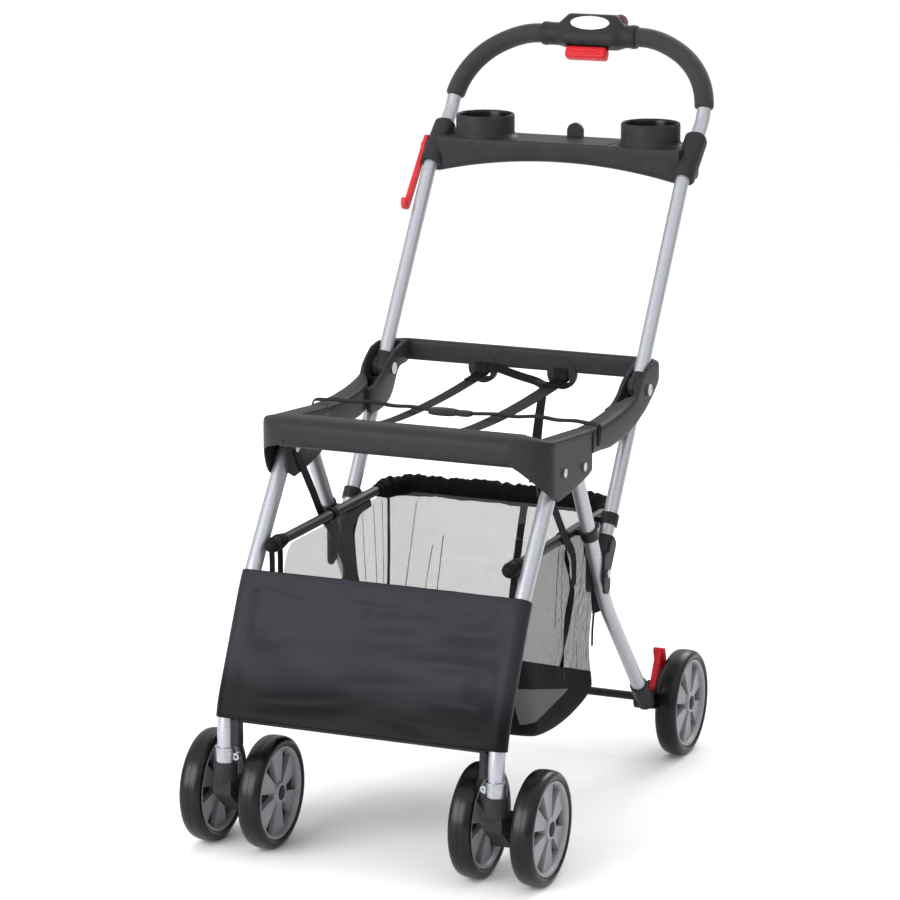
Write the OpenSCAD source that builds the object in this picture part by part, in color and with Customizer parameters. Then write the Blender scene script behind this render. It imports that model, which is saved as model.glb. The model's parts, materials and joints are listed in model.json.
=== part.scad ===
// Folding stroller frame that carries an infant car seat.
// Millimetres, +Z up. The front faces -Y and left is -X.
// The origin is on the floor, under the middle of the frame.
// Side view points are written [y, z].

/* [Wheels] */
// Diameter of every wheel over its tyre
wheel_d = 152; // [144:1:158]
// Width of every tyre
tyre_w = 32; // [28:1:32]
// Thickness of the tyre over its rim
tyre_t = 13; // [11:0.5:15]
// Distance of each front wheel from the middle of its caster
twin_offset = 43; // [43:1:48]
// Distance of the front axle behind its swivel
caster_trail = 48; // [40:1:54]
// Place of the rear axle along the frame
rear_axle_y = 237; // [235:1:245]
// Diameter of the rear axle
rear_axle_d = 12; // [10:1:13]

/* [Tubes] */
// Distance of every frame tube from the middle
tube_x = 193; // [186:1:200]
// Diameter of the front leg tubes
front_tube_d = 22; // [22:1:24]
// Diameter of the rear leg and handle tubes
frame_tube_d = 20; // [19:0.5:20]
// Wall of every tube
tube_wall = 1.5; // [1:0.1:2]

/* [Front legs] */
// Swivel axis of the casters along the frame
caster_y = -413; // [-420:1:-408]
// Lower end of the front leg tubes
leg_foot_z = 132; // [128:1:136]
// Height of the lower bend in the front legs
knee_z = 191; // [188:1:196]
// Place of the upper bend along the frame
shin_y = -331; // [-336:1:-326]
// Height of the upper bend
shin_z = 358; // [352:1:364]
// Front leg pivot along the frame
front_pivot_y = -217; // [-222:1:-212]
// Front leg pivot height
front_pivot_z = 512; // [508:1:514]

/* [Rear legs] */
// Rear leg rivet along the frame
rear_pivot_y = -145; // [-150:1:-140]
// Rear leg rivet height
rear_pivot_z = 505; // [502:1:508]
// Bend in the rear legs along the frame
rear_bend_y = -19; // [-24:1:-14]
// Height of that bend
rear_bend_z = 282; // [276:1:288]
// Lower end of the rear leg tubes along the frame
rear_foot_y = 145; // [141:1:147]
// Lower end of the rear leg tubes in height
rear_foot_z = 101; // [98:1:106]
// Height at which the lower handle tubes meet the rear legs
link_z = 336; // [326:1:346]

/* [Handle] */
// Handle hinge along the frame
hinge_y = 98; // [94:1:100]
// Handle hinge height
hinge_z = 562; // [560:1:564]
// Bend below the console along the frame
console_bend_y = 269; // [264:1:274]
// Height of the bend below the console
console_bend_z = 823; // [810:1:836]
// Bend above the console, reckoned back from the bend below it
arch_step_y = 85; // [82:1:88]
// Bend above the console, reckoned up from the bend below it
arch_step_z = 76; // [74:1:79]
// Lean of the handle arch from upright
arch_lean = 28; // [22:1:34]
// Rise of the arch along its own plane
arch_h = 121; // [112:1:130]
// Diameter of the foam grips
grip_d = 28; // [25:1:30]

/* [Tray] */
// Depth of the front bar
bar_d = 50; // [46:1:52]
// Height of the front bar
bar_h = 42; // [38:1:44]
// Front face of the tray
tray_front_y = -297; // [-300:1:-294]
// Top of the front bar
tray_top_z = 570; // [566:1:574]
// Height of the rear bar
rear_bar_h = 30; // [26:1:32]

/* [Basket] */
// Distance of the basket rails from the middle
rail_x = 170; // [166:1:170]
// Height of the basket rails
rail_z = 400; // [396:1:404]
// Front ends of the rails
rail_front_y = -317; // [-322:1:-312]
// Crossbar at the rear of the rails
rail_back_y = 83; // [78:1:88]
// Height of the basket base at its front
base_z = 136; // [128:1:146]

/* [Console] */
// Inside diameter of the cup holders
cup_d = 77; // [70:1:78]
// Distance of each cup holder from the middle
cup_x = 127; // [124:1:130]
// Depth of the cup holders
cup_depth = 70; // [62:1:72]

/* [Hidden] */
$fn = 64;
// Clearance of a turning fit and of a fixed one
run_fit = 0.05;
set_fit = 0.03;
// Clearance between plates that pass each other
side_gap = 0.4;
far = 600;

silver = "#b9bcc6";
black = "#3c3b3a";
red = "#d3202c";
grey = "#8e8d92";
rubber = "#1f1f1f";
steel = "#a5a7ab";
mesh = "#cfcdc9";

front_r = front_tube_d / 2;
frame_r = frame_tube_d / 2;
wheel_r = wheel_d / 2;
rim_r = wheel_r - tyre_t;
rear_axle_r = rear_axle_d / 2;
rivet_r = 3;
hinge_pin_r = 4;
front_axle_r = 4;
stem_r = 6;

// Side view points
knee = [caster_y, knee_z];
shin = [shin_y, shin_z];
front_pivot = [front_pivot_y, front_pivot_z];
rear_pivot = [rear_pivot_y, rear_pivot_z];
rear_bend = [rear_bend_y, rear_bend_z];
rear_foot = [rear_foot_y, rear_foot_z];
hinge = [hinge_y, hinge_z];
console_bend = [console_bend_y, console_bend_z];
arch_bend = console_bend + [arch_step_y, arch_step_z];
link = between(rear_pivot, rear_bend, link_z);
caster_axle_at = [caster_y + caster_trail, wheel_r];
rear_axle_at = [rear_axle_y, wheel_r];
pedal_rise = 18.315;
pedal_pin = [rear_axle_y - 43, between_y(rear_foot, rear_axle_at, rear_axle_y - 43) + pedal_rise];

// Directions in the side view
leg_dir = unit(front_pivot - shin);
rear_dir = unit(rear_pivot - rear_bend);
foot_dir = unit(rear_bend - rear_foot);
lower_dir = unit(hinge - link);
upper_dir = unit(console_bend - hinge);
sleeve_dir = unit(arch_bend - console_bend);

// Cloth sleeve of the panel round each front leg
sleeve_bore = front_r + 0.35;
sleeve_wall = 1.6;

// Plates of the tray on both sides of the front legs
plate_t = 3;
pocket_in = tube_x - front_r - side_gap;
pocket_out = tube_x + front_r + side_gap;
tray_in = pocket_in - plate_t;
tray_out = pocket_out + plate_t;
knuckle_plate_t = 5;
knuckle_plate_x = tube_x + frame_r + 1.6;
knuckle_out = knuckle_plate_x + knuckle_plate_t;
ear_t = 6;
ear_x = tube_x - frame_r - 1.4 - ear_t;
cheek_t = 3.6;
tray_split_y = -113;
tray_back_y = tray_front_y + bar_d;
rail_top_front = tray_top_z - 8;
rail_top_back = tray_top_z - 21;
rail_h = 18;
rail_set = 0.5;
rear_bar_y = 159;
rear_bar_z = 579;
rear_bar_d = 14;
lobe_x = 60;
lobe_z = 562;

// Casters
fork_top_z = leg_foot_z - 4.4;
collar_h = 20;
rear_wheel_x = tube_x + 23;

// Handle release
housing_w = 96;
cuff_x = 72;
cuff_r = 17;
housing_low = arch_h - 20;
housing_high = arch_h + 27;
housing_half = 20;
trigger_w = 62;
trigger_low = arch_h - 44;
trigger_high = arch_h - 16.5;
trigger_half = 9.5;
button_x = 33;
// The bends fill the room that the cuffs and the height of the arch leave
bend_end = 9;
arch_corner_r = min(arch_h, tube_x - cuff_x) - bend_end;

// Console
console_front = console_bend_y + 10;
console_depth = 87;
console_top = console_bend_z + 45;
console_low = console_bend_z + 17;
console_end_drop = 22;
console_half = tube_x - 8;
console_arch_r = (pow(console_half, 2) + pow(console_end_drop, 2)) / (2 * console_end_drop);
cup_y = console_front + console_depth / 2;
cup_top = console_top + 32;
cup_wall = 4;
sleeve_r = frame_r + 5.5;
sleeve_end = 92;
lid_x = 74;
lid_t = 4;
lid_front = console_front + 5.5;
lid_back = console_front + console_depth - 7.5;
lid_mid_z = console_top - 1.5;
hook_pin = console_bend + sleeve_dir * 40;
hook_len = 98;

function unit(v) = v / norm(v);
// Point of the line a-b at height z
function between(a, b, z) = a + (b - a) * (z - a[1]) / (b[1] - a[1]);
function at_x(x, p) = [x, p[0], p[1]];
function arch_pt(x, w) = [
  x,
  arch_bend[0] + w * sin(arch_lean),
  arch_bend[1] + w * cos(arch_lean)
];
function turn(a, p, b) = acos(unit(p - a) * unit(b - p));
function setback(a, p, b, r) = r * tan(turn(a, p, b) / 2);

// Puts right-hand pieces on the side asked for: 1 is right, -1 is left
module on_side(s) {
  mirror([s < 0 ? 1 : 0, 0, 0]) children();
}

// Stands children on a with their Z towards b
module along(a, b) {
  d = unit(b - a);
  translate(a) rotate([0, acos(d[2]), atan2(d[1], d[0])]) children();
}

module rod(a, b, r) {
  along(a, b) cylinder(h = norm(b - a), r = r);
}

// Rod along X through a side view point
module cross_rod(x0, x1, at, r) {
  translate([x0, at[0], at[1]]) rotate([0, 90, 0]) cylinder(h = x1 - x0, r = r);
}

// Rod through two side view points, at the tubes
module side_rod(a, b, r) {
  rod(at_x(tube_x, a), at_x(tube_x, b), r);
}

// Plate of thickness t from x0, with a side view outline
module side_plate(x0, t) {
  translate([x0, 0, 0]) rotate([90, 0, 90]) linear_extrude(t) children();
}

// Box between two opposite corners
module box(a, b) {
  translate(a) cube(b - a);
}

module rounded_rect(w, h, r) {
  translate([r, 0]) square([w - 2 * r, h]);
  translate([0, r]) square([w, h - 2 * r]);
  for (x = [r, w - r], y = [r, h - r]) translate([x, y]) circle(r = r);
}

// Bar outline from a to b with round ends
module link_outline(a, b, r) {
  d = b - a;
  translate(a) circle(r = r);
  translate(b) circle(r = r);
  translate(a) rotate(atan2(d[1], d[0])) translate([0, -r]) square([norm(d), 2 * r]);
}

module ring(r, bore) {
  difference() {
    circle(r = r);
    circle(r = bore);
  }
}

// Straights run on into each bend by this lap, and the bend is thinner by this step, so that they join
lap = 1;
step = 0.02;

// Arc of a tube at corner p, between the straights a-p and p-b
module tube_bend(a, p, b, bend_r, r, bore) {
  d = unit(p - a);
  axis = unit(cross(d, unit(b - p)));
  out = cross(d, axis);
  centre = p - d * setback(a, p, b, bend_r) - out * bend_r;
  multmatrix([
    [out[0], d[0], axis[0], centre[0]],
    [out[1], d[1], axis[1], centre[1]],
    [out[2], d[2], axis[2], centre[2]]
  ]) rotate_extrude(angle = turn(a, p, b)) translate([bend_r, 0]) ring(r - step, bore + step);
}

// Hollow tube through the points, rounded at each inner one
module bent_tube(pts, bends, r, bore) {
  last = len(pts) - 1;
  for (i = [0 : last - 1]) {
    d = unit(pts[i + 1] - pts[i]);
    from_bend = i == 0 ? 0 : setback(pts[i - 1], pts[i], pts[i + 1], bends[i - 1]) - lap;
    to_bend = i == last - 1 ? 0 : setback(pts[i], pts[i + 1], pts[i + 2], bends[i]) - lap;
    start = pts[i] + d * from_bend;
    end = pts[i + 1] - d * to_bend;
    along(start, end) linear_extrude(norm(end - start)) ring(r, bore);
  }
  for (i = [1 : 1 : last - 1]) tube_bend(pts[i - 1], pts[i], pts[i + 1], bends[i - 1], r, bore);
}

// Cloth that follows a bent path in the side view, off away from it
module cloth_band(pts, bends, off, t, x0, x1) {
  last = len(pts) - 1;
  for (i = [0 : last - 1]) {
    a = at_x(0, pts[i]);
    b = at_x(0, pts[i + 1]);
    d = unit(b - a);
    from_bend = i == 0 ? 0 : setback(at_x(0, pts[i - 1]), a, b, bends[i - 1]) - lap;
    to_bend = i == last - 1 ? 0 : setback(a, b, at_x(0, pts[i + 2]), bends[i]) - lap;
    start = a + d * from_bend;
    out = [0, -d[2], d[1]];
    multmatrix([
      [1, 0, 0, x0],
      [0, d[1], out[1], start[1] + out[1] * off],
      [0, d[2], out[2], start[2] + out[2] * off]
    ]) cube([x1 - x0, norm(b - a) - from_bend - to_bend, t]);
  }
  for (i = [1 : last - 1]) {
    a = at_x(0, pts[i - 1]);
    p = at_x(0, pts[i]);
    b = at_x(0, pts[i + 1]);
    d = unit(p - a);
    out = [0, -d[2], d[1]];
    centre = p - d * setback(a, p, b, bends[i - 1]) - out * bends[i - 1];
    multmatrix([
      [0, 0, -1, 0],
      [out[1], d[1], 0, centre[1]],
      [out[2], d[2], 0, centre[2]]
    ]) rotate_extrude(angle = turn(a, p, b)) translate([bends[i - 1] + off + step, step - x1])
      square([t - 2 * step, x1 - x0 - 2 * step]);
  }
}

leg_path = [[caster_y, leg_foot_z], knee, shin, front_pivot + leg_dir * 14];
// The knee bends as wide as the tube above the collar leaves room for, up to knee_bend_r
knee_bend_r = 150;
shin_bend_r = 300;
collar_top = leg_foot_z + collar_h - 4;
knee_turn = atan2(shin_y - caster_y, shin_z - knee_z);
leg_bends = [min(knee_bend_r, (knee_z - collar_top - 4) / tan(knee_turn / 2)), shin_bend_r];
// Middle of the knee bend, on the line of the tube
knee_mid = knee + unit(unit(shin - knee) - [0, 1]) * leg_bends[0] * (1 / cos(knee_turn / 2) - 1);
rear_path = [rear_pivot + rear_dir * 12, rear_bend, rear_foot];
rear_bends = [250];

// Front bar of the tray, with the pockets for the leg tops
module tray_front() {
  corner_r = 38;
  edge_r = 15;
  corner_set = 0.2;
  bar_z = tray_top_z - bar_h;
  straight = tray_out - corner_r;
  color(black) difference() {
    union() {
      side_plate(-straight - lap, 2 * (straight + lap))
        translate([tray_front_y, bar_z]) rounded_rect(bar_d, bar_h, edge_r);
      for (s = [-1, 1]) on_side(s) {
        translate([straight, tray_front_y + corner_r, bar_z]) rotate([0, 0, -90])
          rotate_extrude(angle = 90) {
            translate([0, corner_set]) square([corner_r - edge_r, bar_h - 2 * corner_set]);
            translate([0, edge_r]) square([corner_r - corner_set, bar_h - 2 * edge_r]);
            for (z = [edge_r, bar_h - edge_r]) translate([corner_r - edge_r, z]) circle_half(edge_r - corner_set);
          }
        tray_rail(
          [tray_front_y + corner_r - 1, rail_top_front - rail_h / 2],
          [tray_split_y + 4, rail_top_back - rail_h / 2]
        );
        box(
          [straight - 1, tray_front_y + corner_r - 1, bar_z + 5],
          [tray_in + 8, tray_back_y + 6, rail_top_front - 3]
        );
        side_plate(pocket_out, plate_t) polygon([
          [tray_front_y + corner_r - 12, rail_top_front - 12],
          [tray_split_y + 4, rail_top_back - 8],
          [tray_split_y + 3, rear_pivot_z - 13],
          [rear_pivot_y + 2, rear_pivot_z - 19],
          [front_pivot_y - 19, front_pivot_z - 36],
          [front_pivot_y - 36, front_pivot_z - 24],
          [tray_front_y + corner_r - 16, bar_z + 4]
        ]);
        side_plate(tray_in, plate_t) polygon([
          [tray_front_y + corner_r - 12, rail_top_front - 12],
          [tray_split_y + 4, rail_top_back - 8],
          [tray_split_y + 3, rear_pivot_z - 6],
          [rear_pivot_y + 2, rear_pivot_z - 14],
          [front_pivot_y - 14, front_pivot_z - 28],
          [tray_front_y + corner_r - 12, bar_z + 4]
        ]);
      }
    }
    for (p = [front_pivot, rear_pivot]) cross_rod(-far, far, p, rivet_r + set_fit);
    box([-far, tray_split_y - 0.1, 0], [far, far, far + 100]);
  }
}

// Right half of a disc, for turned edges that stay off the axis
module circle_half(r) {
  intersection() {
    circle(r = r);
    translate([0, -r]) square([r, 2 * r]);
  }
}

// Rounded side rail of the tray from a to b
module tray_rail(a, b) {
  w = tray_out - tray_in - 2 * rail_set;
  mid = (tray_out + tray_in) / 2;
  along(at_x(mid, a), at_x(mid, b)) linear_extrude(norm(b - a))
    translate([-rail_h / 2, -w / 2]) rounded_rect(rail_h, w, 7);
}

// Side arms, knuckle plates and rear bar of the tray
module tray_rear() {
  bar_corner_r = 20;
  bar_edge = 4;
  bar_end_x = knuckle_out - rear_bar_d / 2;
  straight = bar_end_x - bar_corner_r;
  arm_end_y = hinge_y - 52;
  color(black) difference() {
    union() {
      side_plate(-straight, 2 * straight)
        translate([rear_bar_y - rear_bar_d / 2, rear_bar_z - rear_bar_h / 2])
        rounded_rect(rear_bar_d, rear_bar_h, bar_edge);
      for (s = [-1, 1]) on_side(s) {
        translate([straight, rear_bar_y - bar_corner_r, rear_bar_z - rear_bar_h / 2])
          rotate_extrude(angle = 90) translate([bar_corner_r - rear_bar_d / 2, 0])
          rounded_rect(rear_bar_d, rear_bar_h, bar_edge);
        tray_rail(
          [tray_split_y - 4, rail_top_back - rail_h / 2],
          [arm_end_y, rail_top_back + 2 - rail_h / 2]
        );
        side_plate(tray_in, plate_t) polygon([
          [tray_split_y - 1, rail_top_back - 6],
          [arm_end_y, rail_top_back - 4],
          [arm_end_y, rail_top_back - 30],
          [rear_pivot_y + 73, rail_top_back - 44],
          [rear_pivot_y + 66, rail_top_back - 35],
          [tray_split_y - 1, rail_top_back - 35]
        ]);
        side_plate(knuckle_plate_x, knuckle_plate_t) polygon([
          [tray_split_y - 1, rail_top_back - 4],
          [arm_end_y - 40, rail_top_back - 4],
          [arm_end_y + 2, rail_top_back - 1],
          [hinge_y - 25, hinge_z + 18],
          [hinge_y + 15, hinge_z + 33],
          [rear_bar_y - bar_corner_r + 4, hinge_z + 32],
          [rear_bar_y - bar_corner_r + 4, rear_bar_z - 12],
          [hinge_y + 27, hinge_z - 6],
          [hinge_y + 1, hinge_z - 27],
          [hinge_y - 58, hinge_z - 51],
          [rear_pivot_y + 73, rail_top_back - 49],
          [rear_pivot_y + 66, rail_top_back - 35],
          [tray_split_y - 1, rail_top_back - 35]
        ]);
      }
      for (s = [-1, 1]) translate([s * lobe_x, rear_bar_y - 9, lobe_z]) rotate([-90, 0, 0])
        linear_extrude(8) difference() {
          circle(r = 22);
          translate([-12, 5]) rounded_rect(24, 8, 3.9);
        }
    }
    cross_rod(-far, far, hinge, hinge_pin_r + set_fit);
    box([-far, -far, 0], [far, tray_split_y + 0.1, far + 100]);
  }
}

module rear_leg(s) {
  color(silver) on_side(s) difference() {
    bent_tube([for (p = rear_path) at_x(tube_x, p)], rear_bends, frame_r, frame_r - tube_wall);
    for (p = [rear_pivot, link]) cross_rod(0, far, p, rivet_r + set_fit);
  }
}

// Lower handle tube, from the rear leg up to the knuckle
module lower_tube(s) {
  color(silver) on_side(s) along(at_x(tube_x, link + lower_dir * 20), at_x(tube_x, hinge))
    linear_extrude(norm(hinge - link) - 41) ring(frame_r, frame_r - tube_wall);
}

// Capsule that rivets the lower handle tube to the rear leg
module link_fitting(s) {
  color(black) on_side(s) difference() {
    union() {
      for (x = [tube_x - frame_r - side_gap - cheek_t, tube_x + frame_r + side_gap]) side_plate(x, cheek_t) {
        link_outline(link - [0, 18], link + [0, 18], 11);
        link_outline(link, link + lower_dir * 40, 10);
      }
      side_rod(link + lower_dir * 20, link + lower_dir * 52, frame_r + 3);
    }
    side_rod(link + lower_dir * 19, link + lower_dir * 60, frame_r + set_fit);
    cross_rod(0, far, link, rivet_r + set_fit);
  }
}

// Fixed half of the handle hinge: an ear on the lower tube
module knuckle_base(s) {
  color(black) on_side(s) difference() {
    union() {
      side_plate(ear_x, ear_t) link_outline(hinge, hinge - lower_dir * 50, 14);
      side_rod(hinge - lower_dir * 60, hinge - lower_dir * 19, frame_r + 1.3);
      side_plate(ear_x, ear_t + 5) link_outline(hinge - lower_dir * 28, hinge - lower_dir * 50, 7);
    }
    side_rod(hinge - lower_dir * 61, hinge - lower_dir * 21, frame_r + set_fit);
    cross_rod(0, far, hinge, hinge_pin_r + set_fit);
  }
}

// Rivet along X with a round head at each end
module rivet(x0, x1, at, r, head_r) {
  head_t = 2.4;
  cross_rod(x0, x1, at, r);
  cross_rod(x0 - head_t, x0, at, head_r);
  cross_rod(x1, x1 + head_t, at, head_r);
}

module pivot_rivets() {
  clear = 0.1;
  color(steel) for (s = [-1, 1]) on_side(s) {
    for (p = [front_pivot, rear_pivot]) rivet(tray_in - clear, tray_out + clear, p, rivet_r, 6);
    rivet(
      tube_x - frame_r - side_gap - cheek_t - clear,
      tube_x + frame_r + side_gap + cheek_t + clear,
      link, rivet_r, 6
    );
    rivet(ear_x - clear, knuckle_out + clear, hinge, hinge_pin_r, 8.5);
    cross_rod(tube_x - 13.4, tube_x + 4.3, pedal_pin, rivet_r);
  }
}

// Housing between the rear leg and the axle, with a slot for the pedal
module rear_bracket(s) {
  color(black) on_side(s) difference() {
    union() {
      side_rod(rear_foot - foot_dir * 6, rear_foot + foot_dir * 42, frame_r + 2.5);
      side_plate(tube_x - 13.5, 17.9) {
        link_outline(rear_foot, rear_axle_at, 12);
        translate(rear_axle_at) circle(r = 17);
        translate(pedal_pin) circle(r = 10);
      }
    }
    side_rod(rear_foot, rear_foot + foot_dir * 60, frame_r + set_fit);
    cross_rod(0, far, rear_axle_at, rear_axle_r + set_fit);
    cross_rod(0, far, pedal_pin, rivet_r + set_fit);
    side_plate(tube_x - 9, 9.6) {
      translate(pedal_pin) circle(r = 13);
      translate(pedal_pin + [-13, 0]) square([40, 40]);
    }
  }
}

module rear_axle() {
  end = rear_wheel_x + tyre_w / 2 - 3;
  color(rubber) cross_rod(-end, end, rear_axle_at, rear_axle_r);
}

// U of thin tube that carries the basket, with clips on the frame tubes
module basket_rim() {
  tube_r = 7;
  clips = [between(rear_pivot, rear_bend, rail_z), between(link, hinge, rail_z)];
  dirs = [rear_dir, lower_dir];
  color(rubber) {
    bent_tube([
      [-rail_x, rail_front_y, rail_z],
      [-rail_x, rail_back_y, rail_z],
      [rail_x, rail_back_y, rail_z],
      [rail_x, rail_front_y, rail_z]
    ], [50, 50], tube_r, tube_r - 1.2);
    for (s = [-1, 1], i = [0, 1]) on_side(s) difference() {
      union() {
        side_rod(clips[i] - dirs[i] * 8, clips[i] + dirs[i] * 8, frame_r + 2.6);
        box(
          [rail_x + tube_r - 1, clips[i][0] - 6, rail_z - 4],
          [tube_x - frame_r + 1, clips[i][0] + 6, rail_z + 4]
        );
      }
      side_rod(clips[i] - dirs[i] * 20, clips[i] + dirs[i] * 20, frame_r + set_fit);
    }
  }
}

// Hanging bag: a thin open shell whose base sags
module basket() {
  wall = 2.5;
  half = rail_x - 2;
  top = rail_z - 9.2;
  sag = 14;
  front = [rail_front_y + 7, top];
  base_front = [rail_front_y + 125, base_z + 2];
  base_mid = [rail_front_y + 240, base_z - sag];
  base_rear = [rail_back_y - 61, base_z - sag + 3];
  base_back = [rail_back_y - 31, base_z + 3];
  waist = [rail_back_y - 45, base_z + 75];
  back = [rail_back_y - 11, top];
  color(mesh) difference() {
    side_plate(-half, 2 * half) polygon([front, base_front, base_mid, base_rear, base_back, waist, back]);
    side_plate(-half + wall, 2 * (half - wall)) polygon([
      front + [2.8, 0.1],
      base_front + [2.4, wall - 0.3],
      base_mid + [0, wall],
      base_rear + [-0.5, wall + 0.1],
      base_back + [-2.8, 0.8],
      waist + [-wall, 0],
      back + [-2.6, 0.1]
    ]);
  }
}

// Gathered cloth on the crossbar: rings whose size ripples along X
module basket_sleeve() {
  rings = 44;
  sides = 14;
  half = rail_x - 56;
  pleats = 11;
  function ripple(i) = 1.4 * sin(i * 360 * pleats / rings) + 0.8 * sin(i * 137);
  points = [
    for (i = [0 : rings], j = [0 : sides - 1]) [
      -half + 2 * half * i / rings,
      rail_back_y + (11.5 + ripple(i)) * cos(j * 360 / sides + 4 * sin(i * 97)),
      rail_z - 1 + (15 + ripple(i)) * sin(j * 360 / sides + 4 * sin(i * 97))
    ]
  ];
  walls = [
    for (i = [0 : rings - 1], j = [0 : sides - 1]) let (k = (j + 1) % sides) [
      i * sides + j, i * sides + k, (i + 1) * sides + k, (i + 1) * sides + j
    ]
  ];
  caps = [
    [for (j = [sides - 1 : -1 : 0]) j],
    [for (j = [0 : sides - 1]) rings * sides + j]
  ];
  color(black) difference() {
    polyhedron(points, concat(walls, caps));
    cross_rod(-far, far, [rail_back_y, rail_z], 7.3);
  }
}

// Webbing tied round the rails: loops at the fronts, straps up to the tray
module basket_webbing() {
  strap_t = 1.3;
  strap_x = rail_x + 7.12;
  strap_y = tray_split_y - 18;
  color(rubber) for (s = [-1, 1]) on_side(s) {
    for (y = [rail_front_y + 6, rail_front_y + 26]) {
      wrap(y, 12);
      box([rail_x - 1.4, y + 5, rail_z - 54], [rail_x + 6.5, y + 5 + strap_t, rail_z - 7.3]);
    }
    wrap(strap_y, 14);
    box([strap_x, strap_y, rail_z - 46], [strap_x + strap_t, strap_y + 14, rear_pivot_z + 8]);
  }
}

// One turn of webbing round a rail
module wrap(y, w) {
  translate([rail_x, y, rail_z]) rotate([-90, 0, 0]) linear_extrude(w) ring(8.7, 7.15);
}

// Webbing under the car seat: two long straps, one between the anchors, one down to the basket
module seat_straps() {
  strap_w = 20;
  strap_t = 1.6;
  front_end = [tray_back_y + 0.3, tray_top_z - 14];
  back_end = [rear_bar_y - 6, lobe_z - 9];
  slope = atan2(back_end[1] - front_end[1], back_end[0] - front_end[0]);
  hang_z = between_y(front_end, back_end, rail_back_y);
  color(rubber) {
    for (s = [-1, 1]) translate([s * lobe_x - strap_w / 2, front_end[0], front_end[1]]) rotate([slope, 0, 0])
      cube([strap_w, norm(back_end - front_end), strap_t]);
    box([-lobe_x, rear_bar_y - 11, lobe_z + 2], [lobe_x, rear_bar_y - 9.2, lobe_z + 18]);
    box([42, rail_back_y, rail_z + 14.5], [54, rail_back_y + strap_t, hang_z + 1]);
  }
}

// Height of the line a-b at y
function between_y(a, b, y) = a[1] + (b[1] - a[1]) * (y - a[0]) / (b[0] - a[0]);

belt_y = tray_split_y + 17;
belt_z = rail_top_back + 1.2;
buckle_x = [-34, 26];

// Thin belt across the tray, looped round both side arms
module belt() {
  half_w = 5;
  t = 1.5;
  low = rail_top_back - 35.4;
  color(rubber) {
    box([-tray_in, belt_y - half_w, belt_z], [buckle_x[0] - 0.1, belt_y + half_w, belt_z + t]);
    box([buckle_x[1] + 0.1, belt_y - half_w, belt_z], [tray_in, belt_y + half_w, belt_z + t]);
    for (s = [-1, 1]) on_side(s) difference() {
      box([tray_in - 0.4 - t, belt_y - half_w, low - t], [knuckle_out + 0.4 + t, belt_y + half_w, belt_z + t]);
      box([tray_in - 0.4, belt_y - 20, low], [knuckle_out + 0.4, belt_y + 20, belt_z]);
    }
  }
}

// Side release buckle: socket and plug
module buckle() {
  split = buckle_x[1] - 22;
  color(black) translate([0, belt_y - 11, belt_z - 5]) linear_extrude(12) {
    translate([buckle_x[0], 0]) rounded_rect(split - buckle_x[0], 22, 4);
    translate([split + 0.3, 2]) rounded_rect(buckle_x[1] - split - 0.3, 18, 4);
  }
}

module front_leg(s) {
  color(silver) on_side(s) difference() {
    bent_tube([for (p = leg_path) at_x(tube_x, p)], leg_bends, front_r, front_r - tube_wall);
    cross_rod(0, far, front_pivot, rivet_r + run_fit);
  }
}

// Cloth panel between the front legs, with a sleeve round each
module front_panel() {
  low = knee_z - 5;
  high = shin_z + 6;
  color(black) intersection() {
    union() {
      cloth_band(leg_path, leg_bends, sleeve_bore + 0.3, 1, 2 - tube_x, tube_x - 2);
      for (s = [-1, 1]) on_side(s)
        bent_tube([for (p = leg_path) at_x(tube_x, p)], leg_bends, sleeve_bore + sleeve_wall, sleeve_bore);
    }
    box([-far, -far, low], [far, far, high]);
  }
}

// Black bar behind the panel, with a lug down to each leg below the cloth
module front_brace() {
  bar_r = 8;
  low = collar_top + 2;
  end = tube_x - front_r - side_gap;
  bar_end = tube_x - sleeve_bore - sleeve_wall - side_gap;
  color(black) {
    cross_rod(-bar_end, bar_end, knee_mid, bar_r);
    for (s = [-1, 1]) on_side(s) {
      box([bar_end - bar_r, caster_y - 5, low], [bar_end - step, knee_mid[0] + 6, knee_mid[1]]);
      box([bar_end - 2, caster_y - 4, low + 1], [end, caster_y + 6, knee_z - 6]);
    }
  }
}

// Collar at the foot of a front leg, with an eyelet
module leg_collar(s) {
  color(silver) on_side(s) translate([tube_x, caster_y, leg_foot_z - 4]) difference() {
    union() {
      cylinder(h = collar_h, r = front_r + 3);
      translate([-front_r - 5, 4, 8]) rotate([90, 0, 0]) cylinder(h = 8, r = 5);
    }
    translate([0, 0, 4]) cylinder(h = collar_h, r = front_r + set_fit);
    translate([0, 0, -1]) cylinder(h = 6, r = stem_r + run_fit);
    translate([-front_r - 5.6, 9, 8]) rotate([90, 0, 0]) cylinder(h = 20, r = 2);
  }
}

// Swivelling fork: stem, housing and the block that carries the axle
module caster_fork(s) {
  block_half = 12.5;
  color(black) on_side(s) difference() {
    union() {
      translate([tube_x, caster_y, fork_top_z - 26]) cylinder(h = 26, r = 16.5);
      translate([tube_x, caster_y, fork_top_z - 1]) cylinder(h = 46, r = stem_r);
      side_plate(tube_x - block_half, 2 * block_half) {
        polygon([
          [caster_y - 13, fork_top_z - 20],
          [caster_y - 13, wheel_r + 8],
          [caster_axle_at[0] - 22, wheel_r - 25],
          [caster_axle_at[0] + 8, wheel_r - 25],
          [caster_axle_at[0] + 14, wheel_r + 8],
          [caster_y + 14, fork_top_z - 20]
        ]);
        translate(caster_axle_at) circle(r = 16);
      }
      cross_rod(tube_x - twin_offset + 16.5, tube_x + twin_offset - 16.5, caster_axle_at, 11);
    }
    cross_rod(0, far, caster_axle_at, front_axle_r + set_fit);
  }
}

module caster_axle(s) {
  reach = twin_offset + 14;
  color(steel) on_side(s) cross_rod(tube_x - reach, tube_x + reach, caster_axle_at, front_axle_r);
}

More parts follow.
